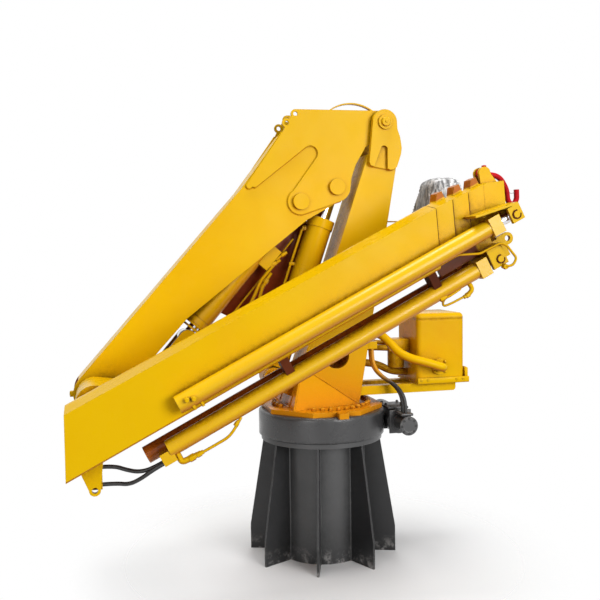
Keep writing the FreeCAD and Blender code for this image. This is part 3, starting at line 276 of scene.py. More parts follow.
def painted_steel(name, main, deep, wear_and_edge_light, corner_shade, gloss, shine=0.06, underside_shade=None,
                  inside=None, patch=None, shaded_below=None, edge_r=0.004, edge_wear_and_light_strength=0.5,
                  scuffed_foot=False):
    """Sprayed steel: main colour, deeper patches, edge wear with painted highlight, painted shade in corners.

    Some pieces also have painted shade on faces that look down, painted shade on the boom's inner faces,
    painted shade deepening towards the foot, a scuffed foot, or a patch of another colour past a place along
    a direction, which the callers use for painted shade.
    """
    material, tree, shader = blank(name)
    coordinates = added(tree, "TexCoord")
    place, normal = coordinates.outputs["Object"], coordinates.outputs["Normal"]
    rounding = added(tree, "Bevel", Radius=edge_r)
    rounding.samples = 4
    patches = ramp(noise(place, 2.2, 4.0), 0.42, 0.62)
    colour = tint(patches, main, deep)
    # Painted shade: faces that look down take a deeper orange.
    if underside_shade:
        share = ramp(part_of(normal, "Z"), -0.05, -0.80, 0.0, 0.95)
        colour = tint(share, colour, underside_shade)
    # Painted shade: the boom's inner faces take a dark red-brown.
    if inside:
        colour = tint(inner_share(place, normal), colour, inside)
    # Painted shade: deeper orange towards the foot, below a given height.
    if shaded_below:
        height = part_of(place, "Z")
        share = ramp(height, shaded_below + foot_shade_fade, shaded_below)
        colour = tint(share, colour, foot_shade_tint)
    # A patch of another colour past a place along a direction; here it always paints shade.
    if patch:
        way, start, end, patch_colour = patch
        share = ramp(distance(place, way), start, end)
        colour = tint(share, colour, patch_colour)
    # Painted shade: corners and recesses, where other parts are near, take a darker colour.
    corner = added(tree, "AmbientOcclusion", Distance=corner_reach)
    corner.samples = 6
    shade = ramp(corner.outputs["AO"], 0.74, 0.34, 0.0, 0.95)
    speckle = ramp(noise(place, 45.0, 6.0, 0.7), 0.35, 0.65, 0.5, 1.0)
    colour = tint(product(shade, speckle), colour, corner_shade)
    # Edge colour: partly rubbed wear, partly a painted highlight; on the tank it is painted shade.
    turn = added(tree, "VectorMath")
    turn.operation = "DOT_PRODUCT"
    linked(rounding.outputs["Normal"], turn.inputs[0])
    linked(added(tree, "NewGeometry").outputs["Normal"], turn.inputs[1])
    edge = ramp(turn.outputs["Value"], 0.985, 0.90, 0.0, edge_wear_and_light_strength)
    edge_patchiness = ramp(noise(place, 28.0, 5.0, 0.65), 0.40, 0.60)
    colour = tint(product(edge, edge_patchiness), colour, wear_and_edge_light)
    if scuffed_foot:
        low = ramp(part_of(place, "Z"), scuff_height, 0.0)
        scrape = ramp(noise(place, 18.0, 8.0, 0.75), 0.50, 0.62)
        colour = tint(product(low, scrape), colour, wear_and_edge_light)
    linked(colour, shader.inputs["Base Color"])
    dull = ramp(noise(place, 9.0, 5.0), 0.35, 0.7, gloss, gloss + 0.16)
    linked(dull, shader.inputs["Roughness"])
    wavy = added(tree, "Bump", Strength=0.25, Distance=0.002)
    linked(noise(place, 5.0, 2.0), wavy.inputs["Height"])
    linked(rounding.outputs["Normal"], wavy.inputs["Normal"])
    skin = added(tree, "Bump", Strength=0.12, Distance=0.0004)
    linked(noise(place, 420.0, 2.0), skin.inputs["Height"])
    linked(wavy.outputs["Normal"], skin.inputs["Normal"])
    linked(skin.outputs["Normal"], shader.inputs["Normal"])
    shader.inputs["Specular IOR Level"].default_value = shine
    return material


# Paler edges: wear and painted highlight; the underside and corner colours are painted shade.
yellow_colours = {"main": (0.89, 0.535, 0.002), "deep": (0.87, 0.50, 0.002), "wear_and_edge_light": (0.95, 0.68, 0.08),
                  "corner_shade": (0.15, 0.030, 0.005), "underside_shade": (0.58, 0.16, 0.004), "gloss": 0.20}
yellow_paint = painted_steel("yellow_paint", **yellow_colours)
# Painted shade: deeper orange towards the column's foot, below a height.
column_paint = painted_steel("column_paint", shaded_below=0.88, **yellow_colours)
# Painted shade: dark red-brown on the boom's inner faces, between its side plates.
boom_paint = painted_steel("boom_paint", inside=(0.33, 0.055, 0.016), **yellow_colours)
barrel_paint = painted_steel("barrel_paint", shine=0.3, **yellow_colours)
# Painted shade: a darker, browner copy of the yellow, for the hidden cylinder that lies in shade.
shaded_barrel_colours = {**yellow_colours, "main": (0.60, 0.15, 0.006), "deep": (0.40, 0.085, 0.006)}
shaded_barrel_paint = painted_steel("shaded_barrel_paint", shine=0.3, **shaded_barrel_colours)
# Dark brown: dirt and grease on the mouth wipers, and painted shade on the barrel saddles.
brown_dirt_and_shade_paint = painted_steel("brown_dirt_and_shade_paint", main=(0.13, 0.028, 0.007), deep=(0.08, 0.018, 0.006),
                            wear_and_edge_light=(0.30, 0.085, 0.015), corner_shade=(0.05, 0.012, 0.006), gloss=0.5)
# Painted shade: the tank's wide rounded edges turn a deeper orange.
tank_paint = painted_steel("tank_paint", edge_r=0.02, edge_wear_and_light_strength=1.0,
                           **{**yellow_colours, "wear_and_edge_light": (0.58, 0.16, 0.004), "deep": (0.86, 0.44, 0.002)})
charcoal_paint = painted_steel("charcoal_paint", main=(0.066, 0.066, 0.067), deep=(0.045, 0.045, 0.046),
                               wear_and_edge_light=(0.30, 0.29, 0.28), corner_shade=(0.010, 0.010, 0.010), gloss=0.30,
                               shine=0.5, scuffed_foot=True)
housing_paint = painted_steel("housing_paint", main=(0.042, 0.042, 0.043), deep=(0.032, 0.032, 0.033),
                              wear_and_edge_light=(0.16, 0.16, 0.16), corner_shade=(0.010, 0.010, 0.010), gloss=0.22,
                              shine=0.6, edge_r=0.022)
# Painted shade: the fins get a darker copy of the pedestal's charcoal.
shaded_fin_paint = painted_steel("shaded_fin_paint", main=(0.030, 0.030, 0.031), deep=(0.020, 0.020, 0.021),
                          wear_and_edge_light=(0.26, 0.25, 0.24), corner_shade=(0.008, 0.008, 0.008), gloss=0.34, shine=0.4,
                          scuffed_foot=True)
red_paint = painted_steel("red_paint", main=(0.62, 0.012, 0.020), deep=(0.50, 0.008, 0.014),
                          wear_and_edge_light=(0.55, 0.10, 0.08), corner_shade=(0.12, 0.010, 0.010), gloss=0.35)
print("paints:", yellow_paint.name, charcoal_paint.name, red_paint.name)

# %% [markdown]
# ## Chrome rods and black rubber
# Cylinder rods are ground and hard-chromed, so they mirror the room, with faint marks left by the wheel.
# A hydraulic hose is rubber with the print of the cloth that it was cured in, so its skin is finely rough.
# Both are mostly one shader; the noise only breaks the sheen the way use does.

# %% Chrome and rubber
def chromed(name):
    """Hard chrome: a bright metal with fine grinding marks and a little oil."""
    material, tree, shader = blank(name)
    place = added(tree, "TexCoord").outputs["Object"]
    smears = ramp(noise(place, 14.0, 5.0), 0.35, 0.7, 0.10, 0.26)
    linked(smears, shader.inputs["Roughness"])
    oil = ramp(noise(place, 6.0, 4.0), 0.40, 0.65)
    linked(tint(oil, (0.72, 0.72, 0.74), (0.56, 0.55, 0.55)), shader.inputs["Base Color"])
    marks = added(tree, "Bump", Strength=0.06, Distance=0.0003)
    linked(noise(place, 600.0, 1.0), marks.inputs["Height"])
    linked(marks.outputs["Normal"], shader.inputs["Normal"])
    shader.inputs["Metallic"].default_value = 1.0
    return material


spray_fade = 0.06
spray_tint = (0.80, 0.36, 0.004)


def rubbered(name, sprayed_above=None):
    """Hose rubber: near black, finely rough, dusty, and perhaps with paint spray above a height."""
    material, tree, shader = blank(name)
    place = added(tree, "TexCoord").outputs["Object"]
    dust = ramp(noise(place, 60.0, 6.0, 0.7), 0.45, 0.75)
    colour = tint(dust, (0.010, 0.010, 0.010), (0.035, 0.032, 0.030))
    if sprayed_above:
        share = ramp(part_of(place, "Z"), sprayed_above, sprayed_above + spray_fade)
        colour = tint(share, colour, spray_tint)
    linked(colour, shader.inputs["Base Color"])
    linked(ramp(dust, 0.0, 1.0, 0.42, 0.62), shader.inputs["Roughness"])
    print_marks = added(tree, "Bump", Strength=0.3, Distance=0.0005)
    linked(noise(place, 900.0, 1.0), print_marks.inputs["Height"])
    linked(print_marks.outputs["Normal"], shader.inputs["Normal"])
    return material


chrome = chromed("chrome")
hose_rubber = rubbered("hose_rubber")
sprayed_rubber = rubbered("sprayed_rubber", sprayed_above=0.97)
print("rods and hoses:", chrome.name, hose_rubber.name, sprayed_rubber.name)

# %% [markdown]
# ## Which paint goes where
# On the real crane every piece was sprayed before it was fitted, so each has its own wear. The frame says
# which finish a piece has. Some pieces take a special paint, and most of these carry painted shade: the boom
# is dark inside, the column deepens towards its foot, the hidden cylinder is a darker copy of the yellow, the
# first rod bracket's arm is dark brown past a place, and the stop blocks on the jib's sections are brown.

# %% Paint the frame
slot_paints = {"yellow_paint": yellow_paint, "charcoal_paint": charcoal_paint, "red_paint": red_paint,
               "chrome": chrome, "hose_rubber": hose_rubber, "dust_film": hose_rubber}
special_paints = {}
for paint, names in (
        (boom_paint, ("boom_side_plates", "boom_root_plates", "boom_back_plate", "boom_belly_plate",
                      "boom_upper_plate")),
        (column_paint, ("column_box", "column_skirts", "column_cheeks", "turret_plate", "lift_foot_lugs",
                        "lift_foot_pin", "lift_barrel")),
        (barrel_paint, ("extension_barrel_1", "extension_barrel_2", "knuckle_barrel")),
        (shaded_barrel_paint, ("extension_barrel_3",)),
        # Painted shade: the saddles sit where shade falls, so they take the dark brown.
        (brown_dirt_and_shade_paint, ("barrel_saddles",)),
        (tank_paint, ("tank_shell", "tank_lid")),
        (shaded_fin_paint, ("pedestal_fins",)),
        (housing_paint, ("slew_housing",))):
    special_paints.update(dict.fromkeys(names, paint))
for part in frame["record"]["subparts"]:
    nodes[part["node"]].data.materials.clear()
    paint = special_paints.get(part["node"], slot_paints[part["material_slot"]])
    nodes[part["node"]].data.materials.append(paint)
# Painted shade: the first rod bracket's arm turns dark brown past a place along the jib, under the barrels.
arm_shade_brown = (0.085, 0.022, 0.006)
arm_shade_fade = 0.012
tie_eye = Vector((0.863, -0.545, 1.755))
eye_to_arm_shade = 0.185
arm_shade_end = tie_eye.dot(jib_way) - eye_to_arm_shade
nodes["rod_bracket_1"].data.materials[0] = painted_steel(
    "arm_paint", patch=(jib_way, arm_shade_end, arm_shade_end - arm_shade_fade, arm_shade_brown), **yellow_colours)
# Painted shade: brown on the stop blocks above each section's roof.
stop_block_shade = (0.50, 0.15, 0.012)
stop_block_shade_fade = 0.004
section_tops = {1: 0.136, 2: 0.125, 3: 0.114}
for number, top in section_tops.items():
    level = along_jib(0, 0, top).dot(jib_up)
    nodes[f"jib_section_{number}"].data.materials[0] = painted_steel(
        f"section_paint_{number}", patch=(jib_up, level, level + stop_block_shade_fade, stop_block_shade), **yellow_colours)
print("painted nodes:", len(nodes))

# %% [markdown]
# ## The hoses
# Four hoses hang free: two from the column down to the slewing motor, and two from the plate under the
# jib's end to its lowest cylinder. Each is one smooth line through a few given points, drawn as a curve with
# a round section, so that it bends as a hose does and nowhere kinks.

# %% Hoses
hose_width = 0.020
hose_routes = {
    "jib_hose_upper": [(-1.212, -0.525, 0.703), (-1.156, -0.525, 0.703), (-1.100, -0.542, 0.684),
                       (-1.045, -0.580, 0.680), (-0.98733, -0.603, 0.69714), (-0.93396, -0.603, 0.72457)],
    "jib_hose_lower": [(-1.212, -0.525, 0.620), (-1.150, -0.525, 0.620), (-1.090, -0.555, 0.618),
                       (-1.035, -0.600, 0.655), (-0.98733, -0.633, 0.69714), (-0.93396, -0.633, 0.72457)],
    "slew_hose_1": [(0.281, -0.078, 1.150), (0.281, -0.078, 1.086), (0.298, -0.100, 1.028),
                    (0.330, -0.139, 0.988), (0.366, -0.185, 0.964), (0.398, -0.224, 0.924),
                    (0.415, -0.246, 0.866), (0.415, -0.246, 0.802)],
    "slew_hose_2": [(0.281, -0.042, 1.150), (0.281, -0.042, 1.086), (0.298, -0.063, 1.028),
                    (0.330, -0.101, 0.988), (0.366, -0.145, 0.964), (0.398, -0.182, 0.924),
                    (0.415, -0.202, 0.866), (0.415, -0.202, 0.802)],
}
hose_bodies = {"jib_hose_upper": "jib", "jib_hose_lower": "jib", "slew_hose_1": "turret",
               "slew_hose_2": "turret"}


def hose_along(name, points):
    """A round hose along its points, as a smooth open curve."""
    line = bpy.data.curves.new(name, "CURVE")
    line.dimensions = "3D"
    spline = line.splines.new("NURBS")
    spline.points.add(len(points) - 1)
    for point, place in zip(spline.points, points):
        point.co = (*place, 1.0)
    spline.order_u = 3
    spline.use_endpoint_u = True
    spline.resolution_u = 12
    line.bevel_depth = hose_width / 2
    line.bevel_resolution = 5
    line.use_fill_caps = True
    line.materials.append(sprayed_rubber if name.startswith("slew") else hose_rubber)
    hose = bpy.data.objects.new(name, line)
    scene.collection.objects.link(hose)
    return hose


hoses = {}
for name, points in hose_routes.items():
    hose = hose_along(name + "_run", points)
    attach(hose, hose_bodies[name])
    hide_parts(name)
    hoses[name] = hose
print("hoses:", list(hoses))

# %% [markdown]
# ## Tools for small steelwork
# Bolts, nuts, ferrules and flanges are turned or sawn from bar. A turned part is drawn here the way a lathe
# sees it: one round face, drawn out step by step, each step with its own radius. A sawn block is a cube
# pulled to size with its corners broken. A pipe is a line with bends, given a round section. Making each of
# them once, as a short helper, keeps every later step to a list of sizes and places.

# %% Helpers for turned, sawn and bent parts
def facing(point, way):
    """A placement that turns the +Z of a part along a direction, at a point."""
    return Matrix.Translation(point) @ Vector(way).to_track_quat("Z", "Y").to_matrix().to_4x4()


def placed(piece, placement):
    """Move a part's mesh to its placement."""
    piece.data.transform(placement)
    return piece


def turned(steps, sides=24):
    """A turned part on +Z: a round face drawn out through (radius, height) steps."""
    bpy.ops.object.select_all(action="DESELECT")
    radius, height = steps[0]
    bpy.ops.mesh.primitive_circle_add(vertices=sides, radius=radius, fill_type="NGON",
                                      location=(0, 0, height))
    bpy.ops.object.transform_apply(location=True)
    bpy.ops.object.mode_set(mode="EDIT")
    bpy.ops.mesh.select_all(action="SELECT")
    for next_radius, next_height in steps[1:]:
        rise = next_height - height
        bpy.ops.mesh.extrude_region_move(TRANSFORM_OT_translate={"value": (0, 0, rise)})
        share = next_radius / radius
        bpy.ops.transform.resize(value=(share, share, 1))
        radius, height = next_radius, next_height
    bpy.ops.mesh.select_all(action="SELECT")
    bpy.ops.mesh.normals_make_consistent(inside=False)
    bpy.ops.object.mode_set(mode="OBJECT")
    return bpy.context.object


def nut(across, tall):
    """A hexagon head on +Z with its top corners turned off and the bolt's end showing."""
    piece = turned([(across / 1.732, 0), (across / 1.732, tall * 0.85), (across * 0.48, tall)], sides=6)
    bpy.ops.object.mode_set(mode="EDIT")
    pick_faces(lambda place, normal: normal.z > 0.9)
    bpy.ops.mesh.inset(thickness=across * 0.18)
    bpy.ops.mesh.extrude_region_move(TRANSFORM_OT_translate={"value": (0, 0, tall * 0.2)})
    bpy.ops.object.mode_set(mode="OBJECT")
    return piece


def slab(low, high, broken=0.003):
    """A sawn block between two corners, its edges broken."""
    bpy.ops.object.select_all(action="DESELECT")
    middle = (Vector(low) + Vector(high)) / 2
    bpy.ops.mesh.primitive_cube_add(size=1, location=middle)
    piece = bpy.context.object
    bpy.ops.object.mode_set(mode="EDIT")
    bpy.ops.mesh.select_all(action="SELECT")
    bpy.ops.transform.resize(value=tuple(Vector(high) - Vector(low)))
    bpy.ops.mesh.bevel(offset=broken, segments=2)
    bpy.ops.object.mode_set(mode="OBJECT")
    bpy.ops.object.transform_apply(location=True)
    return piece


def bent(points, bend):
    """The points of a line with each inner corner rounded off."""
    corners = [Vector(point) for point in points]
    line = [corners[0]]
    for before, corner, after in zip(corners, corners[1:], corners[2:]):
        start = corner + (before - corner).normalized() * min(bend, (before - corner).length / 2)
        end = corner + (after - corner).normalized() * min(bend, (after - corner).length / 2)
        for step in range(9):
            share = step / 8
            line.append(start.lerp(corner, share).lerp(corner.lerp(end, share), share))
    line.append(corners[-1])
    return line


def pipe(points, radius, bend=0.03):
    """A bent steel pipe: a line with a round section, made into a mesh."""
    line = bpy.data.curves.new("pipe", "CURVE")
    line.dimensions = "3D"
    route = bent(points, bend)
    spline = line.splines.new("POLY")
    spline.points.add(len(route) - 1)
    for point, place in zip(spline.points, route):
        point.co = (*place, 1.0)
    line.bevel_depth = radius
    line.bevel_resolution = 3
    line.use_fill_caps = True
    piece = bpy.data.objects.new("pipe", line)
    scene.collection.objects.link(piece)
    only(piece)
    bpy.ops.object.convert(target="MESH")
    return bpy.context.object

# %% [markdown]
# ## Weld beads
# Where a plate stands on another, a fillet weld runs along the joint, and paint flows over it in a soft,
# rippled line. The beads could be drawn as lines on the paint, but a real bead catches light. Each bead
# here takes the plate's own edge: copy the plate, keep only the edges that lie on the joint, give them a
# round section and let a fine cloud pattern push the skin in and out.

# %% Weld beads
ripple = bpy.data.textures.new("weld_ripple", "CLOUDS")
ripple.noise_scale = 0.008


def bead(node, test, radius):
    """A weld bead along the sharp edges of a node that pass a test of their middle and direction."""
    piece = nodes[node].copy()
    piece.data = nodes[node].data.copy()
    scene.collection.objects.link(piece)
    only(piece)
    bpy.ops.object.mode_set(mode="EDIT")
    bpy.ops.mesh.select_all(action="SELECT")
    bpy.ops.mesh.remove_doubles(threshold=0.0002)
    bpy.ops.mesh.select_mode(type="EDGE")
    bpy.ops.mesh.select_all(action="DESELECT")
    mesh = bmesh.from_edit_mesh(piece.data)
    for edge in mesh.edges:
        first, second = (corner.co for corner in edge.verts)
        sharp = edge.calc_face_angle(0.0) > 0.4
        on_joint = test((first + second) / 2, (second - first).normalized())
        edge.select_set(not (sharp and on_joint))
    bmesh.update_edit_mesh(piece.data)
    bpy.ops.mesh.delete(type="EDGE")
    bpy.ops.mesh.select_all(action="SELECT")
    bpy.ops.mesh.subdivide(number_cuts=6)
    bpy.ops.object.mode_set(mode="OBJECT")
    bpy.ops.object.convert(target="CURVE")
    piece = bpy.context.object
    piece.data.bevel_depth = radius
    piece.data.bevel_resolution = 1
    bpy.ops.object.convert(target="MESH")
    piece = bpy.context.object
    rough = piece.modifiers.new("ripple", "DISPLACE")
    rough.texture = ripple
    rough.strength = radius * 0.7
    rough.mid_level = 0.5
    bpy.ops.object.modifier_apply(modifier="ripple")
    return piece


root_plate_y = 0.093
side_plate_end_x = 0.095
side_plate_end_z = 2.325
plate_top_z = 0.848
tube_r = 0.24
cheek_y = 0.115
cheek_weld_top_z = 2.23
near = 0.001


def over_side_plate(place, way):
    """Edges of a root plate that lie on the boom's side plate."""
    on_plate = abs(abs(place.y) - root_plate_y) < near
    return on_plate and place.x < side_plate_end_x and place.z < side_plate_end_z


def foot_line(place, way):
    """The column's foot line on the plate."""
    return abs(place.z - plate_top_z) < near


def skirt_line(place, way):
    """Edges of a skirt above the plate."""
    return place.z > plate_top_z + 2 * near


def cheek_line(place, way):
    """Where a cheek lies on the column, below its tines."""
    return abs(abs(place.y) - cheek_y) < near and place.z < cheek_weld_top_z


def fin_line(place, way):
    """Where a fin stands on the tube."""
    return abs(math.hypot(place.x, place.y) - tube_r) < 4 * near and abs(way.z) > 0.9


boom_welds = settle(bead("boom_root_plates", over_side_plate, 0.0055), "boom_welds", "boom",
                    yellow_paint, 60)
turret_welds = joined([bead("column_box", foot_line, 0.007), bead("column_skirts", skirt_line, 0.005),
                       bead("column_cheeks", cheek_line, 0.005)])
settle(turret_welds, "turret_welds", "turret", column_paint, 60)
pedestal_welds = settle(bead("pedestal_fins", fin_line, 0.005), "pedestal_welds", "pedestal",
                        charcoal_paint, 60)
print("weld faces:", [len(piece.data.polygons) for piece in (boom_welds, turret_welds, pedestal_welds)])

# %% [markdown]
# ## The ring of bolts on the turret plate
# The column's plate is bolted down through the slewing ring with a close ring of hexagon bolts. Real bolts
# are all alike, so one is made with care, then copied round the ring wherever the column and its skirts
# leave room for a spanner.

# %% Plate bolts
ring_count = 38
ring_r = 0.268
skirt_left_x, skirt_right_x = -0.25, 0.20
skirt_half_y = 0.150
skirt_flare = 0.24
bolt_places = []
for number in range(ring_count):
    angle = 2 * math.pi * number / ring_count
    x, y = ring_r * math.cos(angle), ring_r * math.sin(angle)
    skirt_y = skirt_half_y + (skirt_right_x - x) * skirt_flare
    under_skirt = skirt_left_x < x < skirt_right_x and abs(y) < skirt_y
    if not under_skirt:
        bolt_places.append(facing((x, y, plate_top_z), (0, 0, 1)) @ Matrix.Rotation(angle, 4, "Z"))
plate_bolts = copied(nut(across=0.024, tall=0.016), bolt_places)
settle(plate_bolts, "plate_bolts", "turret", column_paint)
print("plate bolts:", len(bolt_places))

# %% [markdown]
# ## Knuckle cylinder fittings
# The knuckle cylinder's gland is held by two painted rings. Oil reaches it through a valve block on its
# side, fed by a straight pipe along the barrel and two painted pipes that drop behind the jib to a joint in
# the web plate. Each pipe could be drawn out of a circle step by step, but a line with rounded corners and a
# round section is closer to how a pipe is bent. Union nuts close each pipe, as a fitter would leave them.

# %% Gland rings, pipes and unions on the boom
ring_steps = [(0.060, 0), (0.0735, 0.001), (0.0745, 0.006), (0.0735, 0.011), (0.060, 0.012)]
ring_places = (0.868, 0.892)
rings = [placed(turned(ring_steps, 48), facing(along_ram(s, 0, 0), ram_way)) for s in ring_places]
settle(joined(rings), "gland_rings", "boom", yellow_paint)

union_steps = [(0.011, 0), (0.012, 0.002), (0.012, 0.018), (0.009, 0.021), (0.009, 0.030)]


def union(point, way, grow=1.0):
    """A pipe union: a hexagon nut and its sleeve."""
    sized = [(radius * grow, height * grow) for radius, height in union_steps]
    return placed(turned(sized, 6), facing(point, way))


drop_y = -0.030
web_y = 0.082


def drop_pipe(line):
    """A painted pipe down behind the jib, by its (x, z) points, and then across to the web plate."""
    end_x, end_z = line[-1]
    return pipe([(x, drop_y, z) for x, z in line] + [(end_x, web_y, end_z)], radius=0.0095, bend=0.05)


feed_y = 0.02
feed_line = pipe([along_ram(0.16, 0.118, feed_y), along_ram(0.79, 0.118, feed_y),
                  along_ram(0.83, 0.095, feed_y), along_ram(0.83, 0.055, feed_y)], radius=0.006)
drop_1 = drop_pipe([(-0.232, 1.655), (-0.262, 1.636), (-0.312, 1.580), (-0.347, 1.538), (-0.375, 1.469),
                    (-0.422, 1.385)])
drop_2 = drop_pipe([(-0.284, 1.585), (-0.326, 1.525), (-0.342, 1.485), (-0.358, 1.420), (-0.367, 1.385)])
elbow = pipe([(x, drop_y, z) for x, z in ((-0.255, 1.655), (-0.230, 1.678), (-0.200, 1.694))],
             radius=0.008, bend=0.012)
unions = [union((-0.307, drop_y, 1.552), (-0.51, 0, -0.86), 1.35),
          union((-0.337, drop_y, 1.501), (0.36, 0, 0.93)),
          union((-0.255, drop_y, 1.642), (-0.9, 0, -0.43), 1.35),
          union((-0.226, drop_y, 1.680), (0.85, 0, 0.5), 1.2),
          union((-0.422, 0.060, 1.385), (0, 1, 0), 1.3),
          union((-0.367, 0.060, 1.385), (0, 1, 0), 1.3)]
boom_pipes = settle(joined([feed_line, drop_1, drop_2, elbow] + unions), "boom_pipes", "boom",
                    yellow_paint)
print("boom pipes:", len(boom_pipes.data.polygons), "faces")

# %% [markdown]
# ## The pipe on the lift cylinder
# Oil for the rod end of the lift cylinder climbs along its barrel in a pipe held by two straps. The pipe is
# bent at both ends to meet a port. The straps could be stripes of paint, but turned bands stand proud of
# the barrel and cast the thin shadow that shows them.

# %% Lift cylinder pipe
lift_foot = Vector((-0.285, 0, 1.010))
lift_way = Vector((0.326, 0, 0.9453))
lift_side = Vector((-0.9453, 0, 0.326))


def by_lift(t, off):
    """A point at a distance along the lift cylinder and off its side, in metres."""
    return lift_foot + lift_way * t + lift_side * off


port_places = (0.16, 0.84)
low_port, high_port = port_places
lift_line = pipe([by_lift(low_port, 0.060), by_lift(low_port, 0.090), by_lift(high_port, 0.090),
                  by_lift(high_port, 0.060)], radius=0.008, bend=0.025)
strap_steps = [(0.060, 0), (0.0725, 0.0005), (0.0725, 0.0195), (0.060, 0.020)]
straps = [placed(turned(strap_steps, 40), facing(by_lift(t, 0), lift_way)) for t in (0.32, 0.62)]
port_steps = [(0.018, 0), (0.018, 0.014), (0.013, 0.018), (0.013, 0.026)]
ports = [placed(turned(port_steps, 6), facing(by_lift(t, 0.066), lift_side)) for t in port_places]
clip_half = Vector((0.016, 0.012, 0.010))
clips = [slab(by_lift(t, 0.085) - clip_half, by_lift(t, 0.085) + clip_half) for t in (0.33, 0.63)]
lift_pipe = settle(joined([lift_line] + straps + ports + clips), "lift_pipe", "lift_barrel", yellow_paint)
print("lift pipe:", len(lift_pipe.data.polygons), "faces")

# %% [markdown]
# ## Pipes under the jib
# The lowest telescope cylinder takes oil at both ends. At its foot a pipe leaves a screwed elbow, runs below
# the barrel and turns up into it. Near its head another pipe leaves an elbow and doubles back. All are cold
# bent tube, so the bends are short and the runs straight.

# %% Jib pipes
def jib_pipe(line, radius, bend):
    """A pipe by its places along the jib, across it and above its centre line."""
    return pipe([along_jib(*place) for place in line], radius, bend)


foot_pipe = jib_pipe([(0.430, -0.640, -0.352), (0.500, -0.640, -0.359), (0.645, -0.640, -0.360),
                      (0.690, -0.640, -0.341), (0.745, -0.632, -0.308)], radius=0.007, bend=0.03)
foot_elbow = jib_pipe([(0.405, -0.625, -0.300), (0.405, -0.632, -0.352), (0.470, -0.640, -0.357)],
                      radius=0.015, bend=0.015)
head_elbow = jib_pipe([(2.072, -0.618, -0.300), (2.078, -0.618, -0.345), (2.040, -0.618, -0.357)],
                      radius=0.012, bend=0.02)
head_pipe = jib_pipe([(2.045, -0.618, -0.356), (1.940, -0.618, -0.352), (1.895, -0.616, -0.345),
                      (1.915, -0.600, -0.322), (2.030, -0.596, -0.305)], radius=0.006, bend=0.022)
short_pipe = jib_pipe([(1.900, -0.640, -0.300), (1.930, -0.640, -0.310), (2.010, -0.640, -0.305)],
                      radius=0.006, bend=0.02)
jib_unions = [union(along_jib(0.440, -0.638, -0.356), jib_way, 1.5),
              union(along_jib(0.478, -0.640, -0.358), jib_way, 1.2),
              union(along_jib(2.052, -0.618, -0.357), -jib_way, 1.2),
              union(along_jib(1.888, -0.640, -0.300), jib_way, 1.3),
              union(along_jib(0.700, -0.638, -0.330), jib_way + jib_up * 0.6, 1.0)]
jib_pipes = settle(joined([foot_pipe, foot_elbow, head_elbow, head_pipe, short_pipe] + jib_unions),
                   "jib_pipes", "jib", yellow_paint)
print("jib pipes:", len(jib_pipes.data.polygons), "faces")

# %% [markdown]
# ## The side cylinder's pipe
# The second telescope cylinder rides with the first section, and so does its pipe: it starts at fittings on
# the barrel's foot, follows the barrel's lower edge to the jib's head, steps under the end block and curls
# round the first rod's pin, where the oil comes out of the hollow rod.

# %% Side cylinder pipe
side_line = jib_pipe([(0.600, -0.712, -0.108), (0.640, -0.706, -0.133), (2.049, -0.700, -0.133),
                      (2.161, -0.694, -0.185), (2.285, -0.690, -0.190), (2.312, -0.690, -0.216),
                      (2.332, -0.690, -0.300), (2.300, -0.690, -0.322), (2.262, -0.690, -0.312),
                      (2.262, -0.668, -0.300)], radius=0.0065, bend=0.016)
side_unions = [union(along_jib(0.560, -0.770, -0.075), (0, -1, 0), 1.1),
               union(along_jib(0.590, -0.772, -0.085), (0, -1, 0), 1.1),
               union(along_jib(0.575, -0.755, -0.116), -jib_up, 0.8),
               union(along_jib(0.615, -0.745, -0.122), -jib_up, 0.8),
               union(along_jib(2.262, -0.690, -0.312), (0, 1, 0), 1.2)]
side_pipe = settle(joined([side_line] + side_unions), "side_pipe", "section_1", yellow_paint)
print("side pipe:", len(side_pipe.data.polygons), "faces")

# %% [markdown]
# ## Circlips on the rod pins
# Each telescope rod is held to its bracket by a plain pin, and a spring clip in a groove keeps the pin from
# walking out. The clip is an open ring. A small square is spun most of the way round the pin, which leaves
# the gap that the pliers need.

# %% Circlips
rod_pin_r = 0.018
clip_turn_deg = 290
clip_gap_deg = 20


def circlip(radius, wire):
    """An open spring ring about +Z: a small square spun most of the way round."""
    bpy.ops.object.select_all(action="DESELECT")
    bpy.ops.mesh.primitive_plane_add(size=wire, location=(radius, 0, wire / 2),
                                     rotation=(math.pi / 2, 0, 0))
    piece = bpy.context.object
    bpy.ops.object.transform_apply(location=True, rotation=True)
    bpy.ops.object.mode_set(mode="EDIT")
    bpy.ops.mesh.select_all(action="SELECT")
    bpy.ops.mesh.spin(steps=30, angle=math.radians(clip_turn_deg), center=(0, 0, 0), axis=(0, 0, 1))
    bpy.ops.mesh.select_all(action="SELECT")
    bpy.ops.mesh.normals_make_consistent(inside=False)
    bpy.ops.object.mode_set(mode="OBJECT")
    return piece


def clipped_pin(point, way, radius):
    """A pin's end with its circlip."""
    end = turned([(radius * 0.8, 0), (radius, 0.001), (radius, 0.004), (radius * 0.88, 0.006)], 28)
    clip = placed(circlip(radius * 1.12, 0.006), Matrix.Rotation(math.radians(clip_gap_deg), 4, "Z"))
    return [placed(end, facing(point, way)), placed(clip, facing(point, way))]


clip_paint = painted_steel("dark_clip", main=(0.10, 0.020, 0.008), deep=(0.06, 0.012, 0.006),
                           wear_and_edge_light=(0.30, 0.10, 0.03), corner_shade=(0.02, 0.006, 0.004), gloss=0.45)
pin_places = {1: (2.262, -0.668, -0.268), 2: (2.385, -0.781, -0.086)}
for number, place in pin_places.items():
    pin_parts = clipped_pin(along_jib(*place), (0, -1, 0), rod_pin_r)
    settle(pin_parts[0], f"rod_pin_end_{number}", f"section_{number}", yellow_paint)
    settle(pin_parts[1], f"rod_circlip_{number}", f"section_{number}", clip_paint)
print("circlips set:", len(pin_places))

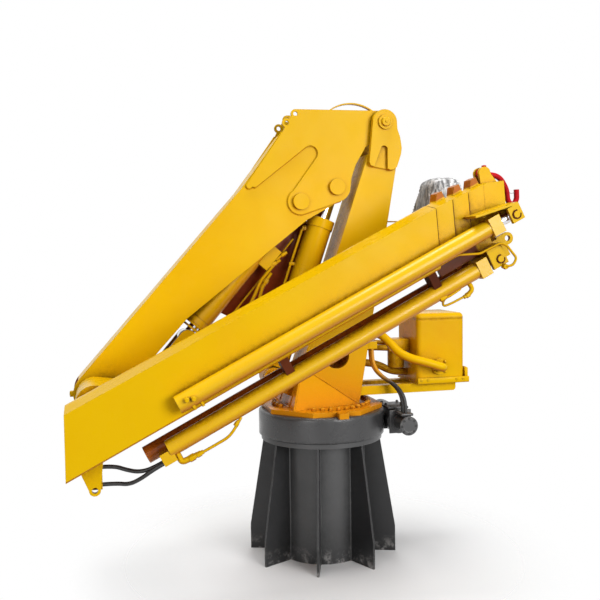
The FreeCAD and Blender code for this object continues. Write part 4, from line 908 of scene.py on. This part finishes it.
# %% [markdown]
# ## Wiper strips at the jib's mouths
# Each telescope section slides out of the one before it through a mouth, and a rubber strip round the mouth
# wipes grit off. After a few seasons it is brown with dirt and grease. It could be a line in the paint, but
# it stands a little proud in the joint, so it is a thin round strip laid round the mouth's outline.

# %% Mouth wipers
jib_middle_y = -0.550
mouth_lean = math.tan(math.radians(22))


def mouth_strip(end, half, top, bottom, shoulder):
    """A strip round a mouth that leans back: down the front, over the roof and down the back."""
    outline = [(-half, bottom), (-half, top - shoulder), (0, top), (half, top - shoulder), (half, bottom)]
    return jib_pipe([(end + v * mouth_lean, jib_middle_y + y, v) for y, v in outline],
                    radius=0.0034, bend=0.006)


for body, end, half, top, bottom, shoulder in (("jib", 2.015, 0.122, 0.131, -0.150, 0.017),
                                               ("section_1", 2.119, 0.113, 0.127, -0.140, 0.016),
                                               ("section_2", 2.223, 0.093, 0.116, -0.120, 0.013)):
    strip = mouth_strip(end, half, top, bottom, shoulder)
    settle(strip, f"mouth_wiper_{body}", body, brown_dirt_and_shade_paint, 60)
print("mouth wipers set")

# %% [markdown]
# ## Slewing motor and gearbox
# A hydraulic motor drives the worm that turns the crane. Its end cover is a round casting held by a ring of
# sunk screws; the gearbox has a bolted cover plate with the motor's ports on top. The cover is turned, and
# the screws are dark heads copied round it.

# %% Motor cover and gearbox plates
motor_axis = Vector((0.415, -0.284, 0.742))
cover_steps = [(0.050, 0), (0.052, 0.002), (0.052, 0.010), (0.047, 0.014), (0.034, 0.0145), (0.032, 0.013)]
cover = placed(turned(cover_steps, 40), facing(motor_axis, (0, -1, 0)))
screw_ring_r = 0.041
screw_sunk = 0.0135
screw_places = []
for angle in range(0, 360, 45):
    turn = math.radians(angle)
    off = Vector((screw_ring_r * math.cos(turn), -screw_sunk, screw_ring_r * math.sin(turn)))
    screw_places.append(facing(motor_axis + off, (0, -1, 0)))
screws = copied(turned([(0.0065, 0), (0.0065, 0.003), (0.005, 0.004)], 10), screw_places)
flange = slab((0.352, -0.160, 0.676), (0.482, -0.150, 0.808), 0.004)
cap_top_z = 0.822
cap_plate = slab((0.352, -0.140, 0.808), (0.474, 0.020, cap_top_z), 0.004)
port_block = slab((0.380, -0.272, 0.792), (0.450, -0.176, 0.806), 0.003)
box_bolt_spots = [(x, y, cap_top_z) for x in (0.366, 0.460) for y in (-0.126, -0.060, 0.006)]
box_bolt_places = [facing(spot, (0, 0, 1)) for spot in box_bolt_spots]
box_bolts = copied(nut(across=0.014, tall=0.009), box_bolt_places)
drive_fittings = settle(joined([cover, flange, cap_plate, port_block, box_bolts]), "drive_fittings", "turret",
                        charcoal_paint)
settle(screws, "motor_screws", "turret", hose_rubber)
print("drive fittings:", len(drive_fittings.data.polygons), "faces")

# %% [markdown]
# ## Tank fittings
# The oil tank stands on a shelf with bolts along its front flange. Its suction pipe ends in a flanged joint
# on the tank's face, and a return filter hangs on the tank's left wall with two stub pipes to the column.
# A thin stay runs from the column to the seat. Pipes are bent, the can is turned and plates are sawn.

# %% Tank fittings
shelf_face_y = -0.155
tank_bolt_places = [facing((x, shelf_face_y, 0.966), (0, -1, 0)) for x in (0.545, 0.585, 0.760, 0.800)]
tank_bolts = copied(nut(across=0.016, tall=0.010), tank_bolt_places)
foot_flange = slab((0.524, -0.162, 0.945), (0.838, -0.153, 0.978), 0.003)
ear = slab((0.812, shelf_face_y, 0.953), (0.836, -shelf_face_y, 1.030), 0.010)
can_steps = [(0.040, 0), (0.048, 0.006), (0.048, 0.110), (0.056, 0.112), (0.056, 0.130), (0.030, 0.138)]
filter_can = placed(turned(can_steps, 32), facing((0.460, 0.020, 1.020), (0, 0, 1)))
filter_head = slab((0.395, -0.045, 1.120), (0.526, 0.085, 1.190), 0.010)
stub_1 = pipe([(0.262, -0.010, 1.150), (0.400, -0.010, 1.140)], radius=0.017)
stub_2 = pipe([(0.268, 0.040, 1.180), (0.400, 0.040, 1.165)], radius=0.014)
low_pipe = pipe([(0.250, 0.030, 1.060), (0.350, 0.030, 1.045), (0.430, 0.030, 1.000), (0.526, 0.030, 0.992)],
                radius=0.022, bend=0.06)
joint_face_y = -0.166
joint_bolt_places = [facing((x, joint_face_y, z), (0, -1, 0)) for x, z in
                     ((0.625, 1.069), (0.685, 1.069), (0.685, 1.013), (0.625, 1.013))]
joint_bolts = copied(nut(across=0.015, tall=0.010), joint_bolt_places)
tank_parts = settle(joined([tank_bolts, foot_flange, ear, filter_can, filter_head, stub_1, stub_2, low_pipe,
                            joint_bolts]),
                    "tank_fittings", "turret", yellow_paint)
seat_stay = pipe([(0.350, 0.060, 1.868), (0.660, 0.060, 1.868)], radius=0.004)
settle(seat_stay, "seat_stay", "turret", yellow_paint)
print("tank fittings:", len(tank_parts.data.polygons), "faces")

# %% [markdown]
# ## A lug on the boom's tip and the hook's latch
# A small tapered lug sticks out at the boom's lower corner, for tying the jib down at sea. The hook carries
# a small latch block in its own red and a bright spring wire across its mouth. Lug and latch could be cut to
# shape, but a block with one face drawn in gives the taper that a smith gives a bar. A turned cap closes the
# boom's pivot pin.

# %% Tip lug and latch
lug = slab((-1.366, -0.080, 0.966), (-1.290, -0.055, 0.996), 0.004)
bpy.ops.object.mode_set(mode="EDIT")
pick_faces(lambda place, normal: normal.x < -0.9)
bpy.ops.transform.resize(value=(1, 0.6, 0.5))
bpy.ops.object.mode_set(mode="OBJECT")
settle(lug, "tip_lug", "boom", yellow_paint)

latch = slab((0.720, -0.558, 2.104), (0.742, -0.542, 2.130), 0.003)
bpy.ops.object.mode_set(mode="EDIT")
pick_faces(lambda place, normal: normal.z > 0.9)
bpy.ops.transform.resize(value=(0.4, 1, 1))
bpy.ops.object.mode_set(mode="OBJECT")
settle(latch, "hook_latch", "hook", red_paint)
latch_spring = pipe([(0.846, jib_middle_y, 2.022), (0.868, jib_middle_y, 2.000), (0.882, jib_middle_y, 1.986),
                     (0.905, jib_middle_y, 1.990)], radius=0.0025, bend=0.008)
settle(latch_spring, "latch_spring", "hook", chrome)

cap_steps = [(0.020, 0), (0.0245, 0.001), (0.025, 0.003), (0.025, 0.010), (0.022, 0.013), (0.006, 0.0135),
             (0.006, 0.019)]
pin_cap = placed(turned(cap_steps, 36), facing((0.344, -0.157, 2.405), (0, -1, 0)))
settle(pin_cap, "pivot_pin_cap", "turret", yellow_paint)
print("tip lug, latch and pin cap set")

# %% [markdown]
# ## The film over the seat
# The operator's seat behind the column is still wrapped in thin dusty film, tucked over it as it came from
# the works. A film could be drawn as a smooth bag, but its folds come from the way a flat sheet is forced
# over corners. So a round sheet is cut flat and laid on the seat by a cloth simulation, then thickened.

# %% Seat film
film_r = 0.40
film_cells = 64
film_thickness = 0.001
film_start = (0.758, 0.060, 2.124)
drape_frames = 45
gap_to_seat = 0.004
seat_low = (0.672, -0.050, 1.846)
seat_high = (0.848, 0.170, 2.112)
seat_form = slab(seat_low, seat_high, broken=0.045)
seat_form = settle(seat_form, "seat_form", "turret", hose_rubber, 60)
block = seat_form.modifiers.new("block", "COLLISION")
seat_form.collision.thickness_outer = gap_to_seat
seat_form.collision.cloth_friction = 20.0

bpy.ops.object.select_all(action="DESELECT")
bpy.ops.mesh.primitive_grid_add(x_subdivisions=film_cells, y_subdivisions=film_cells, size=2 * film_r,
                                location=film_start)
film = bpy.context.object
bpy.ops.object.mode_set(mode="EDIT")
pick_faces(lambda place, normal: math.hypot(place.x, place.y) > film_r)
bpy.ops.mesh.delete(type="FACE")
bpy.ops.object.mode_set(mode="OBJECT")
bpy.ops.object.transform_apply(location=True)
cloth = film.modifiers.new("cloth", "CLOTH")
cloth.settings.quality = 6
cloth.settings.mass = 0.06
cloth.settings.tension_stiffness = 12
cloth.settings.compression_stiffness = 12
cloth.settings.shear_stiffness = 4
cloth.settings.bending_stiffness = 0.02
cloth.collision_settings.distance_min = gap_to_seat
cloth.collision_settings.use_self_collision = True
cloth.collision_settings.self_distance_min = gap_to_seat
for frame_number in range(1, drape_frames + 1):
    scene.frame_set(frame_number)
only(film)
bpy.ops.object.modifier_apply(modifier="cloth")
scene.frame_set(1)
seat_form.modifiers.remove(block)
only(film)
thick = film.modifiers.new("thick", "SOLIDIFY")
thick.thickness = film_thickness
bpy.ops.object.modifier_apply(modifier="thick")


def filmed(name):
    """Thin dusty film: upright streaks of grey and white, paler to the right."""
    material, tree, shader = blank(name)
    place = added(tree, "TexCoord").outputs["Object"]
    stretch = added(tree, "Mapping", Scale=(1.0, 1.0, 0.10))
    linked(place, stretch.inputs["Vector"])
    streaks = ramp(noise(stretch.outputs["Vector"], 44.0, 5.0, 0.6), 0.42, 0.58)
    pale = ramp(part_of(place, "X"), 0.62, 0.80, 0.45, 1.0)
    colour = tint(product(streaks, pale), (0.16, 0.16, 0.162), (0.95, 0.95, 0.95))
    linked(colour, shader.inputs["Base Color"])
    shader.inputs["Roughness"].default_value = 0.32
    return material


dust_film = filmed("dust_film")
settle(film, "seat_film", "turret", dust_film, 80)
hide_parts("seat_wrap")

# %% [markdown]
# ## The floor
# The crane stands on a plain pale floor. A floor with an edge would cut the picture with a horizon, so this
# one turns clear a little way out and only keeps the crane's shadow.

# %% Floor
floor_size = 9.0
fade_start, fade_end = 0.30, 1.4
bpy.ops.object.select_all(action="DESELECT")
bpy.ops.mesh.primitive_plane_add(size=floor_size)
floor = bpy.context.object
floor.name = "floor"
bpy.ops.object.mode_set(mode="EDIT")
bpy.ops.mesh.subdivide(number_cuts=4)
bpy.ops.object.mode_set(mode="OBJECT")
floor_paint, tree, shader = blank("floor_paint")
place = added(tree, "TexCoord").outputs["Object"]
reach = added(tree, "VectorMath")
reach.operation = "LENGTH"
linked(place, reach.inputs[0])
fade = ramp(reach.outputs["Value"], fade_start, fade_end)
clear = added(tree, "BsdfTransparent")
blend_out = added(tree, "MixShader")
linked(fade, blend_out.inputs["Fac"])
linked(shader.outputs["BSDF"], blend_out.inputs[1])
linked(clear.outputs["BSDF"], blend_out.inputs[2])
linked(blend_out.outputs["Shader"], tree.nodes["Material Output"].inputs["Surface"])
shader.inputs["Base Color"].default_value = (0.93, 0.93, 0.93, 1)
shader.inputs["Roughness"].default_value = 0.9
floor.data.materials.append(floor_paint)
print("floor:", floor_size, "m wide, clear from", fade_end, "m on")

# %% [markdown]
# ## Light and background
# Hard sun would print black shadows on the plates, so four large soft lamps stand well back: one in front
# to the right, one overhead, a weaker one to the left and one behind. The white room is bright only where
# the camera or a mirror looks at it, so that it lights the crane just a little.

# %% Lamps and background
def soft_lamp(name, place, towards, size, watts):
    """A large square lamp aimed at a point."""
    bpy.ops.object.light_add(type="AREA", location=place)
    lamp = bpy.context.object
    lamp.name = name
    lamp.data.size = size
    lamp.data.energy = watts
    lamp.rotation_mode = "QUATERNION"
    lamp.rotation_quaternion = (Vector(towards) - Vector(place)).to_track_quat("-Z", "Y")
    return lamp


crane_middle = (-0.2, -0.3, 1.3)
room_light = 0.15
soft_lamp("key_lamp", (5.0, -11.7, 3.9), crane_middle, size=6.0, watts=1120)
soft_lamp("top_lamp", (-0.2, -0.6, 13.0), crane_middle, size=5.2, watts=1000)
soft_lamp("fill_lamp", (-8.2, -9.7, 2.3), crane_middle, size=6.0, watts=340)
back_lamp = soft_lamp("back_lamp", (2.5, 11.0, 4.5), crane_middle, size=6.0, watts=550)
back_lamp.visible_glossy = False

world = bpy.data.worlds.new("white_room")
scene.world = world
world.use_nodes = True
tree = world.node_tree
rays = added(tree, "LightPath")
mirrored = worked("MAXIMUM", rays.outputs["Is Glossy Ray"], rays.outputs["Is Transmission Ray"])
seen = worked("MAXIMUM", rays.outputs["Is Camera Ray"], mirrored)
white = tree.nodes["Background"]
white.inputs["Color"].default_value = (1, 1, 1, 1)
linked(ramp(seen, 0.0, 1.0, room_light, 1.0), white.inputs["Strength"])
scene.view_settings.view_transform = "Standard"
